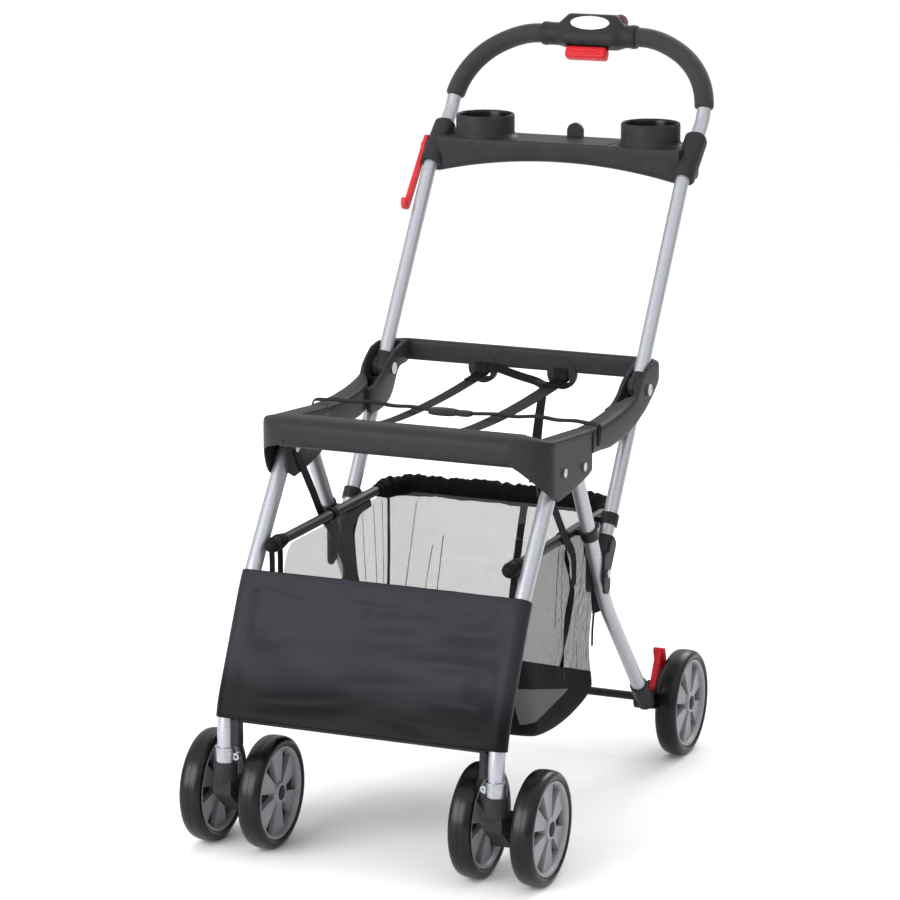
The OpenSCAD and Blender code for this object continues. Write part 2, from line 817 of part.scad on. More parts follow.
// Spoked rim with its axle along X
module rim(at, axle_r) {
  spokes = 6;
  ring_w = 24;
  color(grey) translate(at) rotate([0, 90, 0]) difference() {
    union() {
      translate([0, 0, -ring_w / 2]) linear_extrude(ring_w) ring(rim_r, rim_r - 6);
      translate([0, 0, -tyre_w / 2]) cylinder(h = tyre_w, r = 16);
      for (i = [0 : spokes - 1]) rotate(i * 360 / spokes)
        translate([14, -6, -6]) cube([rim_r - 18, 12, 12]);
    }
    translate([0, 0, -tyre_w]) cylinder(h = 2 * tyre_w, r = axle_r + run_fit);
  }
}

// Tyre with a rounded tread
module tyre(at) {
  edge = 8;
  wall = wheel_r - rim_r - set_fit;
  color(rubber) translate(at) rotate([0, 90, 0]) rotate_extrude() translate([rim_r + set_fit, -tyre_w / 2]) {
    translate([0, 2]) square([wall - edge, tyre_w - 4]);
    translate([0, edge]) square([wall, tyre_w - 2 * edge]);
    for (z = [edge, tyre_w - edge]) translate([wall - edge, z]) circle_half(edge);
  }
}

function front_wheel_at(s, side) = [s * (tube_x + side * twin_offset), caster_axle_at[0], caster_axle_at[1]];
function rear_wheel_at(s) = [s * rear_wheel_x, rear_axle_at[0], rear_axle_at[1]];

// Foot brake: an arm in the bracket and a wider pad
module brake_pedal(s) {
  pad = [pedal_pin + [28, 24], pedal_pin + [20, 50]];
  color(red) on_side(s) difference() {
    union() {
      side_plate(tube_x - 8.6, 8.8) {
        translate(pedal_pin) circle(r = 9);
        polygon([pedal_pin + [-7, 5], pedal_pin + [7, -5], pad[0] + [3, 0], pad[1] + [-3, 0]]);
      }
      side_plate(tube_x - 12, 16) link_outline(pad[0], pad[1], 4);
    }
    cross_rod(0, far, pedal_pin, rivet_r + run_fit);
  }
}

// Half of the handle arch, from the knuckle to the middle of the housing
module handle_tube(s) {
  color(silver) on_side(s) bent_tube([
    at_x(tube_x, hinge + upper_dir * 16),
    at_x(tube_x, console_bend),
    at_x(tube_x, arch_bend),
    arch_pt(tube_x, arch_h),
    arch_pt(2, arch_h)
  ], [60, 45, arch_corner_r], frame_r, frame_r - tube_wall);
}

// Children in the plane of the arch: X across, Y up the arch, Z to the front
module arch_frame() {
  translate(at_x(0, arch_bend)) rotate([90 - arch_lean, 0, 0]) children();
}

module grip(s) {
  color(rubber) on_side(s) intersection() {
    bent_tube([
      arch_pt(tube_x, 8),
      arch_pt(tube_x, arch_h),
      arch_pt(cuff_x + 0.3, arch_h)
    ], [arch_corner_r], grip_d / 2, frame_r + set_fit);
    arch_frame() box([0, 20, -40], [far, far, 40]);
  }
}

// Moving half of the handle hinge: a barrel and the collar on the tube
module handle_knuckle(s) {
  barrel_half = frame_r + 1;
  color(black) on_side(s) difference() {
    union() {
      cross_rod(tube_x - barrel_half, tube_x + barrel_half, hinge, 15);
      side_rod(hinge, hinge + upper_dir * 22, frame_r + 1);
    }
    side_rod(hinge + upper_dir * 16, hinge + upper_dir * 50, frame_r + set_fit);
    cross_rod(0, far, hinge, hinge_pin_r + run_fit);
  }
}

// Beam between the tubes with two cup holders and a lidded compartment
module console() {
  low = console_low - console_end_drop - 8;
  color(black) difference() {
    union() {
      intersection() {
        side_plate(-console_half, 2 * console_half)
          translate([console_front, low]) rounded_rect(console_depth, console_top - low, 9);
        translate([0, console_front - 1, 0]) rotate([90, 0, 0]) mirror([0, 0, 1])
          linear_extrude(console_depth + 2) difference() {
            translate([-console_half - 1, low - 1]) square([2 * console_half + 2, console_top - low + 2]);
            translate([0, console_low - console_arch_r]) circle(r = console_arch_r, $fn = 200);
          }
      }
      for (s = [-1, 1]) on_side(s) {
        translate([cup_x, cup_y, cup_top - cup_depth - cup_wall])
          cylinder(h = cup_depth + cup_wall, r = cup_d / 2 + cup_wall);
        side_rod(console_bend + sleeve_dir * 9, console_bend + sleeve_dir * sleeve_end, sleeve_r);
      }
      on_side(-1) cross_rod(tube_x + frame_r + 2, tube_x + sleeve_r + 9.5, hook_pin, rivet_r);
      on_side(-1) cross_rod(tube_x + frame_r + 2, tube_x + sleeve_r + 1, hook_pin, 8);
    }
    for (s = [-1, 1]) on_side(s) {
      translate([cup_x, cup_y, cup_top - cup_depth]) cylinder(h = cup_depth + 1, r = cup_d / 2);
      side_rod(console_bend + sleeve_dir * 2, console_bend + sleeve_dir * 110, frame_r + set_fit);
      side_rod(console_bend - upper_dir * 30, console_bend + sleeve_dir * 8.5, frame_r + 1);
    }
    box([-lid_x + 2, lid_front + 4, console_top - 22], [lid_x - 2, lid_back - 4, far + 400]);
    box([-lid_x - 0.4, lid_front - 2.6, lid_mid_z - lid_t / 2 - 0.3], [lid_x + 0.4, lid_back + 0.4, far + 400]);
    cross_rod(-lid_x - 4.4, lid_x + 4.4, [lid_front, lid_mid_z], 1.2 + run_fit);
  }
}

// Lid of the console, hinged at its front edge, with a finger tab
module console_lid() {
  tab_t = 6;
  tab_r = 12;
  low = lid_mid_z - lid_t / 2;
  color(black) {
    box([-lid_x, lid_front, low], [lid_x, lid_back, low + lid_t]);
    cross_rod(-lid_x, lid_x, [lid_front, lid_mid_z], lid_t / 2);
    cross_rod(-lid_x - 4, lid_x + 4, [lid_front, lid_mid_z], 1.2);
    translate([0, lid_back, low]) rotate([90, 0, 0]) linear_extrude(tab_t) {
      translate([-tab_r, 0]) square([2 * tab_r, 12]);
      translate([0, 12]) circle(r = tab_r);
    }
  }
}

// Release housing on the arch, before it is split into two shells
module housing_body() {
  difference() {
    union() {
      translate([-housing_w / 2, housing_low, -housing_half])
        linear_extrude(2 * housing_half) rounded_rect(housing_w, housing_high - housing_low, 17);
      translate([-cuff_x, arch_h, 0]) rotate([0, 90, 0]) cylinder(h = 2 * cuff_x, r = cuff_r);
    }
    translate([-far, arch_h, 0]) rotate([0, 90, 0]) cylinder(h = 2 * far, r = frame_r + set_fit);
    box(
      [-trigger_w / 2 - 0.5, 0, -trigger_half - 0.4],
      [trigger_w / 2 + 0.5, arch_h - frame_r - 0.3, trigger_half + 0.4]
    );
    box([button_x - 7, housing_high - 9, -5.3], [far, far, 7.3]);
  }
}

module housing_top() {
  color(black) arch_frame() {
    intersection() {
      housing_body();
      box([-far, -far, 0], [far, far, 40]);
    }
    translate([0, housing_high - 24, housing_half - 0.5]) linear_extrude(1.7)
      link_outline([-20, 0], [20, 0], 10);
  }
}

module housing_bottom() {
  color(black) arch_frame() intersection() {
    housing_body();
    box([-far, -far, -40], [far, far, 0]);
  }
}

// Red trigger that is squeezed up into the housing
module trigger() {
  color(red) arch_frame() {
    translate([-trigger_w / 2, trigger_low, -trigger_half])
      linear_extrude(2 * trigger_half) rounded_rect(trigger_w, trigger_high - trigger_low, 6);
    for (x = [-10, 10])
      box([x - 2, trigger_low + 3, trigger_half - 1], [x + 2, trigger_high - 10, trigger_half + 1.5]);
  }
}

// Red safety slide on the shoulder of the housing
module lock_button() {
  color(red) arch_frame() translate([button_x, housing_high - 8.7, -5])
    linear_extrude(12) rounded_rect(16, 12, 3);
}

// Plungers in the lower ends of the handle tubes, drawn up by the trigger
module latch_plungers() {
  color(steel) for (s = [-1, 1]) on_side(s)
    side_rod(hinge + upper_dir * 24, hinge + upper_dir * 62, frame_r - tube_wall - 0.15);
}

// Red hook lever outside the left tube
module fold_hook() {
  d = unit([-64, -75]);
  plate_x = tube_x + sleeve_r + 1.4;
  color(red) on_side(-1) difference() {
    side_plate(plate_x, 6) {
      link_outline(hook_pin - d * 14, hook_pin + d * hook_len, 5.5);
      translate(hook_pin) circle(r = 8);
      translate(hook_pin + d * hook_len) rotate(atan2(d[1], d[0])) translate([0, -6]) difference() {
        circle(r = 11.5);
        circle(r = 5.5);
        translate([-20, -20]) square([20, 26]);
      }
    }
    cross_rod(0, far, hook_pin, rivet_r + run_fit);
  }
}

tray_front();
tray_rear();
rear_leg(-1);  // rear_leg_left
rear_leg(1);  // rear_leg_right
lower_tube(-1);  // lower_tube_left
lower_tube(1);  // lower_tube_right
link_fitting(-1);  // link_fitting_left
link_fitting(1);  // link_fitting_right
knuckle_base(-1);  // knuckle_base_left
knuckle_base(1);  // knuckle_base_right
pivot_rivets();
rear_bracket(-1);  // rear_bracket_left
rear_bracket(1);  // rear_bracket_right
rear_axle();
basket_rim();
basket();
basket_sleeve();
basket_webbing();
seat_straps();
belt();
buckle();
front_leg(-1);  // front_leg_left
front_leg(1);  // front_leg_right
front_panel();
front_brace();
leg_collar(-1);  // leg_collar_left
leg_collar(1);  // leg_collar_right
caster_fork(-1);  // caster_fork_left
caster_fork(1);  // caster_fork_right
caster_axle(-1);  // caster_axle_left
caster_axle(1);  // caster_axle_right
rim(front_wheel_at(-1, 1), front_axle_r);  // front_rim_left_outer
rim(front_wheel_at(-1, -1), front_axle_r);  // front_rim_left_inner
rim(front_wheel_at(1, -1), front_axle_r);  // front_rim_right_inner
rim(front_wheel_at(1, 1), front_axle_r);  // front_rim_right_outer
tyre(front_wheel_at(-1, 1));  // front_tyre_left_outer
tyre(front_wheel_at(-1, -1));  // front_tyre_left_inner
tyre(front_wheel_at(1, -1));  // front_tyre_right_inner
tyre(front_wheel_at(1, 1));  // front_tyre_right_outer
rim(rear_wheel_at(-1), rear_axle_r);  // rear_rim_left
rim(rear_wheel_at(1), rear_axle_r);  // rear_rim_right
tyre(rear_wheel_at(-1));  // rear_tyre_left
tyre(rear_wheel_at(1));  // rear_tyre_right
brake_pedal(-1);  // brake_pedal_left
brake_pedal(1);  // brake_pedal_right
handle_tube(-1);  // handle_tube_left
handle_tube(1);  // handle_tube_right
grip(-1);  // grip_left
grip(1);  // grip_right
handle_knuckle(-1);  // handle_knuckle_left
handle_knuckle(1);  // handle_knuckle_right
console();
console_lid();
housing_top();
housing_bottom();
trigger();
lock_button();
latch_plungers();
fold_hook();
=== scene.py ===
"""Looks of the car seat stroller frame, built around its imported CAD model.

Sizes are in millimetres until a piece is finished. +Z is up, the front faces -Y and left is -X.
"""

import json
import math

import bmesh
import bpy
from mathutils import Matrix, Vector, noise


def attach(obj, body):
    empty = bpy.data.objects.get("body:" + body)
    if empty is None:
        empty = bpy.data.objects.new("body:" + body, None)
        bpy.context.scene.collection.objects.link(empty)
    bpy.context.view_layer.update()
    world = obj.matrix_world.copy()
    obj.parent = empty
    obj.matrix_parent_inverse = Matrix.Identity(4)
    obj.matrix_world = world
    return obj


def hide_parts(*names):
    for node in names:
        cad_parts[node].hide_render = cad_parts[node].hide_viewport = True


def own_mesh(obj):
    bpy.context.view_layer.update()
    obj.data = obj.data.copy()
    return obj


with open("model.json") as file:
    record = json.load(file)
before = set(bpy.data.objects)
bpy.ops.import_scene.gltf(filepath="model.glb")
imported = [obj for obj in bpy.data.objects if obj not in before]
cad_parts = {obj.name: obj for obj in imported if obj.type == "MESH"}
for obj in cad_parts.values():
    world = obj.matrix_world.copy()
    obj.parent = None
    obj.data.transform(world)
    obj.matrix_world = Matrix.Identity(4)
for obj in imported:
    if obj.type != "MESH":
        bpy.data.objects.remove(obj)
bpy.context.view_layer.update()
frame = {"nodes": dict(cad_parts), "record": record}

MM = 0.001
SCENE = bpy.context.scene
SIDES = ((-1, "left"), (1, "right"))
# Metres from band to band of a wave texture at scale 1
WAVE_BAND = 0.314

# Sizes that the CAD source gives
TUBE_X = 193
WHEEL_R = 76
RIM_R = 63
TWIN_HALF = 43
FRONT_AXLE_Y = -365
REAR_WHEEL_X = 216
REAR_AXLE_Y = 237
LEG_PATH = [(-413, 132), (-413, 191), (-331, 358), (-206, 526)]
LEG_BENDS = [150, 300]
SLEEVE_R = 13.2
PANEL_LOW = 186
PANEL_HIGH = 364.5
RAIL_X = 170
RAIL_Z = 400
RAIL_FRONT = -317
RAIL_BACK = 83
RAIL_R = 7
RAIL_BEND = 50
ARCH_Y = 354
ARCH_Z = 899
ARCH_H = 121
ARCH_LEAN = math.radians(28)
ARCH_CORNER = 112
GRIP_R = 14
CUFF_X = 72
HINGE = (98, 562)
HANDLE_BEND = (269, 823)
LOBE_X = 60
LOBE_Z = 562
BELT_Y = -96
CHEEK_X = 175
CONSOLE_FRONT = 279
CONSOLE_BACK = 366
CONSOLE_TOP = 868
CONSOLE_LOW = 840
CONSOLE_HALF = 185
CONSOLE_ARCH_R = 788.8
CUP_X = 127
CUP_Y = 322.5
CUP_WALL_R = 42.5

# Sizes of what is modelled here
PANEL_FREE = TUBE_X - 7
BAG_HALF = 168
BAG_HALF_DEPTH = 190
BAG_TOP = 391
BAG_FRONT_DIP = 58
BAG_FRONT = -310
# Places of the bag's back, from rim to base
BAG_BACK = (72, 58, 45, 38, 50)
SKIRT_START = 157
RELEASE_RISE = 3.6
BODY_X = 4
POCKET_X = 178.6
CONSOLE_EDGE_R = 9
WELL_FLOOR = 846
TRIGGER_HALF = 31

# Directions in the leaning plane of the handle arch: up it, and off it towards the front
ARCH_UP = Vector((0, math.sin(ARCH_LEAN), math.cos(ARCH_LEAN)))
ARCH_OUT = Vector((0, -math.cos(ARCH_LEAN), math.sin(ARCH_LEAN)))


# Camera, light and floor


def put_aimed(name, data, place, target):
    """Puts a camera or a lamp in the scene, turned towards a point."""
    holder = bpy.data.objects.new(name, data)
    holder.location = place
    holder.rotation_euler = (Vector(target) - Vector(place)).to_track_quat("-Z", "Y").to_euler()
    SCENE.collection.objects.link(holder)
    return holder


def make_camera():
    """Camera at the photograph's viewing angle."""
    data = bpy.data.cameras.new("camera")
    data.lens = 144.86
    data.sensor_width = 36
    data.shift_x = -0.00707
    data.shift_y = 0.0302
    data.clip_end = 60
    SCENE.camera = put_aimed("camera", data, (1.8643, -4.5062, 1.5912), (0, -0.087, 0.4592))


def make_stage():
    """Pale floor, three soft boxes and a white room."""
    bm = bmesh.new()
    bmesh.ops.create_grid(bm, x_segments=1, y_segments=1, size=30)
    mesh = bpy.data.meshes.new("floor")
    bm.to_mesh(mesh)
    bm.free()
    floor = bpy.data.objects.new("floor", mesh)
    SCENE.collection.objects.link(floor)
    mesh.materials.append(new_material("white_paper_floor", base_color=linear("#f4f4f4"), roughness=0.9)[0])
    world = bpy.data.worlds.new("white_room")
    world.use_nodes = True
    tree = world.node_tree
    background = tree.nodes["Background"]
    background.inputs["Color"].default_value = (1, 1, 1, 1)
    # The room's walls light the frame less than its ceiling, but seen directly they are as white as the floor
    way = add(tree, "ShaderNodeTexCoord").outputs["Generated"]
    height = add(tree, "ShaderNodeSeparateXYZ", links={"Vector": way}).outputs["Z"]
    levels = {"From Min": 0.05, "From Max": 0.55, "To Min": 0.4, "To Max": 1.2}
    glow = add(tree, "ShaderNodeMapRange", levels, {"Value": height}).outputs["Result"]
    seen = add(tree, "ShaderNodeLightPath").outputs["Is Camera Ray"]
    strength = add(tree, "ShaderNodeMath", {"operation": "MAXIMUM"}, {0: glow, 1: seen})
    tree.links.new(strength.outputs["Value"], background.inputs["Strength"])
    SCENE.world = world
    lamps = [
        ("key_box", (-1.5, -3.2, 1.7), 2.4, 120),
        ("fill_box", (2.8, -1.2, 1.8), 2.0, 2),
        ("back_box", (0.4, 2.8, 2.6), 2.0, 60),
    ]
    for name, place, size, power in lamps:
        lamp = bpy.data.lights.new(name, "AREA")
        lamp.size = size
        lamp.energy = power
        put_aimed(name, lamp, place, (0, 0, 0.5))
    SCENE.view_settings.view_transform = "Standard"


# Finishes


def linear(code):
    """sRGB hex to linear RGBA."""
    parts = [int(code[i : i + 2], 16) / 255 for i in (1, 3, 5)]
    return [c / 12.92 if c <= 0.04045 else ((c + 0.055) / 1.055) ** 2.4 for c in parts] + [1.0]


def add(tree, kind, settings=None, links=None):
    """Adds a node, sets its inputs or properties, and links its inputs to sockets."""
    node = tree.nodes.new(kind)
    for key, value in (settings or {}).items():
        if isinstance(key, int) or key in node.inputs:
            node.inputs[key].default_value = value
        else:
            setattr(node, key, value)
    for key, socket in (links or {}).items():
        tree.links.new(socket, node.inputs[key])
    return node


def new_material(name, **shader):
    """Material with a Principled shader whose plain values are given by input name."""
    material = bpy.data.materials.new(name)
    material.use_nodes = True
    tree = material.node_tree
    principled = tree.nodes["Principled BSDF"]
    for key, value in shader.items():
        principled.inputs[key.replace("_", " ").title().replace("Ior", "IOR")].default_value = value
    return material, tree, principled


def mottled(name, low, high, cloud_mm, rough, bump_mm, grain_mm, ior=1.5, shine=0.5, **shader):
    """Cloudy colour between two hex values, uneven gloss and a fine bump, each at a real size."""
    material, tree, principled = new_material(name, ior=ior, specular_ior_level=shine, **shader)
    place = add(tree, "ShaderNodeTexCoord").outputs["Object"]
    cloud = add(tree, "ShaderNodeTexNoise", {"Scale": 1 / (cloud_mm * MM), "Detail": 3.0}, {"Vector": place})
    ramp = add(tree, "ShaderNodeValToRGB", links={"Fac": cloud.outputs["Fac"]})
    for end, code, position in zip(ramp.color_ramp.elements, (low, high), (0.3, 0.7)):
        end.color = linear(code)
        end.position = position
    tree.links.new(ramp.outputs["Color"], principled.inputs["Base Color"])
    limits = {"To Min": rough[0], "To Max": rough[1]}
    gloss = add(tree, "ShaderNodeMapRange", limits, {"Value": cloud.outputs["Fac"]})
    tree.links.new(gloss.outputs["Result"], principled.inputs["Roughness"])
    grain = add(tree, "ShaderNodeTexNoise", {"Scale": 1 / (grain_mm * MM), "Detail": 2.0}, {"Vector": place})
    depth = {"Strength": 0.6, "Distance": bump_mm * MM}
    bump = add(tree, "ShaderNodeBump", depth, {"Height": grain.outputs["Fac"]})
    tree.links.new(bump.outputs["Normal"], principled.inputs["Normal"])
    return material


def cross_threads(tree, principled, spacing_mm, joined, low, high):
    """Two sets of threads along the piece's own UV map, which is in metres, and their colour."""
    place = add(tree, "ShaderNodeTexCoord").outputs["UV"]
    waves = {}
    for k, way in enumerate("XY"):
        bands = {"Scale": WAVE_BAND / (spacing_mm * MM), "bands_direction": way}
        waves[k] = add(tree, "ShaderNodeTexWave", bands, {"Vector": place}).outputs["Fac"]
    both = add(tree, "ShaderNodeMath", {"operation": joined}, waves).outputs["Value"]
    ramp = add(tree, "ShaderNodeValToRGB", links={"Fac": both})
    for end, code in zip(ramp.color_ramp.elements, (low, high)):
        end.color = linear(code)
    tree.links.new(ramp.outputs["Color"], principled.inputs["Base Color"])
    return both


def woven(name, thread_mm, bump_mm, low, high, roughness, shine):
    """Plain weave whose threads stand up."""
    material, tree, principled = new_material(name, roughness=roughness, ior=1.5, specular_ior_level=shine)
    both = cross_threads(tree, principled, thread_mm, "MULTIPLY", low, high)
    bump = add(tree, "ShaderNodeBump", {"Strength": 0.5, "Distance": bump_mm * MM}, {"Height": both})
    tree.links.new(bump.outputs["Normal"], principled.inputs["Normal"])
    return material


def knitted(name, cell_mm, cover_from, low, high):
    """Open net, with threads where the waves of either direction peak and nothing between them."""
    material, tree, principled = new_material(name, roughness=0.7, ior=1.5)
    thread = cross_threads(tree, principled, cell_mm, "MAXIMUM", low, high)
    limits = {"From Min": cover_from[0], "From Max": cover_from[1]}
    cover = add(tree, "ShaderNodeMapRange", limits, {"Value": thread})
    tree.links.new(cover.outputs["Result"], principled.inputs["Alpha"])
    return material


def paint_hem_shade(material, full, reach):
    """Painted shade: darkens a cloth near its start, fading between two lengths in metres along a wavy line,
    where the cloth bends down away from the light.
    """
    tree = material.node_tree
    base = tree.nodes["Principled BSDF"].inputs["Base Color"]
    colour = base.links[0].from_socket
    wave_high = 0.05
    place = add(tree, "ShaderNodeTexCoord").outputs["UV"]
    along = add(tree, "ShaderNodeSeparateXYZ", links={"Vector": place}).outputs["Y"]
    wave = add(tree, "ShaderNodeTexNoise", {"Scale": 1 / (90 * MM), "Detail": 1.0}, {"Vector": place})
    lifted = {0: wave.outputs["Fac"], 2: along}
    wavy = add(tree, "ShaderNodeMath", {"operation": "MULTIPLY_ADD", 1: wave_high}, lifted)
    fade = {
        "interpolation_type": "SMOOTHSTEP",
        "From Min": full + wave_high / 2,
        "From Max": reach + wave_high / 2,
        "To Min": 0.85,
        "To Max": 0.0,
    }
    share = add(tree, "ShaderNodeMapRange", fade, {"Value": wavy.outputs["Value"]})
    # Inputs 6 and 7 of this node are its two colours, and output 2 is the mixed one
    # 08080a is the painted shade, strongest at the cloth's start
    dark = {"data_type": "RGBA", 7: linear("#08080a")}
    mixed = add(tree, "ShaderNodeMix", dark, {"Factor": share.outputs["Result"], 6: colour})
    tree.links.new(mixed.outputs[2], base)


def make_materials():
    """One material for each real finish on the frame."""
    made = {
        # Silver lacquer over steel tube: soft highlights, and flakes that give it a faint sparkle
        "tube_silver": mottled(
            "silver_lacquered_steel", "#a3a5ab", "#b0b2b8", 3.0, (0.34, 0.44), 0.01, 0.25,
            metallic=0.75, coat_weight=0.25, coat_roughness=0.25,
        ),
        # Polypropylene moulded in a spark-eroded tool: dark charcoal with a fine even grain and a satin sheen
        "black_plastic": mottled(
            "moulded_polypropylene", "#2c2c2e", "#313133", 18.0, (0.34, 0.42), 0.05, 0.7,
            ior=1.49, shine=0.06,
        ),
        # The same plastic inside the cups, glossy as from a polished tool; its blacker colour is painted
        # shade for the deep insides of the cups
        "painted_cup_shade": mottled(
            "polypropylene_with_painted_cup_shade", "#0a0a0b", "#0f0f10", 18.0, (0.2, 0.28), 0.02, 0.7,
            ior=1.49, shine=0.3,
        ),
        # Moulded ABS in signal red: smooth and half glossy
        "red_plastic": mottled(
            "red_moulded_abs", "#bd141f", "#ca1c27", 14.0, (0.4, 0.5), 0.02, 0.6, ior=1.54, shine=0.25
        ),
        # The same ABS where thumbs have dulled and darkened it
        "dulled_red": mottled(
            "dulled_red_abs", "#4c2a2b", "#6a3c3d", 4.0, (0.42, 0.55), 0.03, 0.8, ior=1.54, shine=0.3
        ),
        # Closed-cell foam: matt, with open pores in its skin
        "foam_rubber": mottled(
            "closed_cell_foam", "#1e1e1f", "#29292a", 6.0, (0.7, 0.85), 0.12, 0.9, ior=1.45, sheen_weight=0.1
        ),
        # EVA tyre: nearly black, with a soft shine and faint flow marks from the mould
        "tyre_rubber": mottled(
            "moulded_eva_tyre", "#070707", "#0e0e0e", 9.0, (0.24, 0.34), 0.05, 1.1, ior=1.47, shine=0.3
        ),
        # Zinc-plated steel: bright and slightly clouded
        "steel": mottled(
            "zinc_plated_steel", "#9a9ca2", "#b4b6ba", 5.0, (0.28, 0.42), 0.01, 0.4, metallic=1.0
        ),
        # Silver-grey moulded nylon of the rims: even colour with a soft gloss
        "rim_grey": mottled(
            "grey_moulded_nylon", "#85848a", "#929197", 16.0, (0.36, 0.46), 0.03, 0.7, ior=1.53, metallic=0.15
        ),
        # Black powder coat: deep black with a fine orange peel
        "black_metal": mottled(
            "black_powder_coat", "#111112", "#18181a", 8.0, (0.36, 0.46), 0.04, 1.2, ior=1.5, shine=0.25
        ),
        # Coated polyester oxford cloth: threads of 0.5 mm, drawn at 1.6 mm so that they show
        "panel_cloth": woven(
            "coated_polyester_oxford", 1.6, 0.12, "#26252b", "#313036", roughness=0.42, shine=0.07
        ),
        # Uncoated polyester taffeta of the bag: soft black, hardly any shine
        "bag_cloth": woven(
            "black_polyester_taffeta", 1.4, 0.1, "#060607", "#0d0d0f", roughness=0.75, shine=0.1
        ),
        # Satin anodised aluminium of the bare plate on the release: pale, with a soft even sheen
        "pale_plate": mottled(
            "satin_anodised_aluminium", "#d9dadc", "#e6e7e9", 7.0, (0.3, 0.4), 0.01, 0.3, metallic=0.6
        ),
        # Nylon webbing: ribs across the strap every 1.5 mm
        "webbing": woven("woven_nylon_webbing", 1.5, 0.25, "#0b0b0c", "#161618", roughness=0.6, shine=0.12),
        # Knitted polyester net: dark threads round open cells of 1.3 mm, which let most of the light through
        "mesh_cloth": knitted("knitted_polyester_net", 1.3, (0.58, 0.78), "#232221", "#484643"),
        # Coarser and paler net of the windows in the bag's base
        "window_net": knitted("knitted_window_net", 2.2, (0.5, 0.75), "#454442", "#666562"),
    }
    # Painted shade along the bottom of the panel, where the cloth bends down to hang upright
    paint_hem_shade(made["panel_cloth"], 0.026, 0.092)
    return made


# Lines and values along them


def mix(a, b, t):
    """Value between a and b, at t from 0 to 1."""
    return a + (b - a) * t


def ease(t):
    """Smooth step from 0 to 1."""
    t = max(0.0, min(1.0, t))
    return t * t * (3 - 2 * t)


def rounded_end(edge, least):
    """Scale of a section near a rounded end: least where edge is 0, and 1 from where it is 1."""
    return least + (1 - least) * math.sqrt(1 - (1 - min(1, edge)) ** 2)


def round_ends(steep, least):
    """Scales, for sweep, of a bar with rounded ends."""

    def scales(t):
        r = rounded_end(steep * min(t, 1 - t), least)
        return r, r

    return scales


def table_at(table, y):
    """Row of numbers at y, between the rows of a table whose first column is y."""
    if y <= table[0][0]:
        return table[0][1:]
    for low, high in zip(table, table[1:]):
        if y <= high[0]:
            t = (y - low[0]) / (high[0] - low[0])
            return [mix(a, b, t) for a, b in zip(low[1:], high[1:])]
    return table[-1][1:]


def rounded_path(points, radii, per_bend=10):
    """Points of a line whose inner corners are rounded to the radii. Works in two or three dimensions."""
    pts = [Vector(p) for p in points]
    out = [pts[0]]
    for before, corner, after, radius in zip(pts, pts[1:], pts[2:], radii):
        back = (before - corner).normalized()
        ahead = (after - corner).normalized()
        half = math.acos(max(-1, min(1, back.dot(ahead)))) / 2
        reach = radius / math.tan(half)
        middle = corner + (back + ahead).normalized() * (radius / math.sin(half))
        first = corner + back * reach - middle
        last = corner + ahead * reach - middle
        turn = math.pi - 2 * half
        for k in range(per_bend + 1):
            t = k / per_bend
            arm = first * math.sin((1 - t) * turn) + last * math.sin(t * turn)
            out.append(middle + arm / math.sin(turn))
    out.append(pts[-1])
    return out


def smooth_line(points, per_span=8):
    """Catmull-Rom line through the points."""
    pts = [Vector(p) for p in points]
    pts = [pts[0] * 2 - pts[1]] + pts + [pts[-1] * 2 - pts[-2]]
    out = []
    for a, b, c, d in zip(pts, pts[1:], pts[2:], pts[3:]):
        for k in range(per_span):
            t = k / per_span
            bend = (2 * a - 5 * b + 4 * c - d) * t**2 + (3 * b - a - 3 * c + d) * t**3
            out.append(0.5 * (2 * b + (c - a) * t + bend))
    out.append(pts[-2])
    return out


def along_list(values, t):
    """Value at t, from 0 to 1, on a smooth line through evenly spaced values."""
    line = smooth_line([(0, v) for v in values], 12)
    return line[min(len(line) - 1, round(t * (len(line) - 1)))].y


def resample(line, count):
    """The same line with evenly spaced points."""
    lengths = [0.0]
    for a, b in zip(line, line[1:]):
        lengths.append(lengths[-1] + (b - a).length)
    out = []
    i = 0
    for k in range(count):
        want = lengths[-1] * k / (count - 1)
        while i < len(line) - 2 and lengths[i + 1] < want:
            i += 1
        span = lengths[i + 1] - lengths[i] or 1
        out.append(line[i].lerp(line[i + 1], (want - lengths[i]) / span))
    return out


def frames_along(line, up):
    """A matrix at each point of a line: Y along the line, Z near up, X across. up may depend on t."""
    line = [Vector(p) for p in line]
    last = len(line) - 1
    made = []
    for i, p in enumerate(line):
        ahead = (line[min(i + 1, last)] - line[max(i - 1, 0)]).normalized()
        want = Vector(up(i / last) if callable(up) else up)
        across = ahead.cross(want).normalized()
        turn = Matrix((across, ahead, across.cross(ahead))).transposed()
        made.append(Matrix.Translation(p) @ turn.to_4x4())
    return made


# Sections and the operators that carry them


def circle(r, count=24):
    """Section of a round bar."""
    turns = [2 * math.pi * i / count for i in range(count)]
    return [(r * math.cos(turn), r * math.sin(turn)) for turn in turns]


def soft_box(wide, tall, power=4.0, count=24):
    """Section of a bar with soft edges, a superellipse."""
    out = []
    for c, s in circle(1, count):
        x = math.copysign(abs(c) ** (2 / power), c)
        z = math.copysign(abs(s) ** (2 / power), s)
        out.append((x * wide / 2, z * tall / 2))
    return out


def mirrored(half):
    """Closed profile from its left half, given as [x, radius] points."""
    return half + [(-x, r) for x, r in reversed(half)]


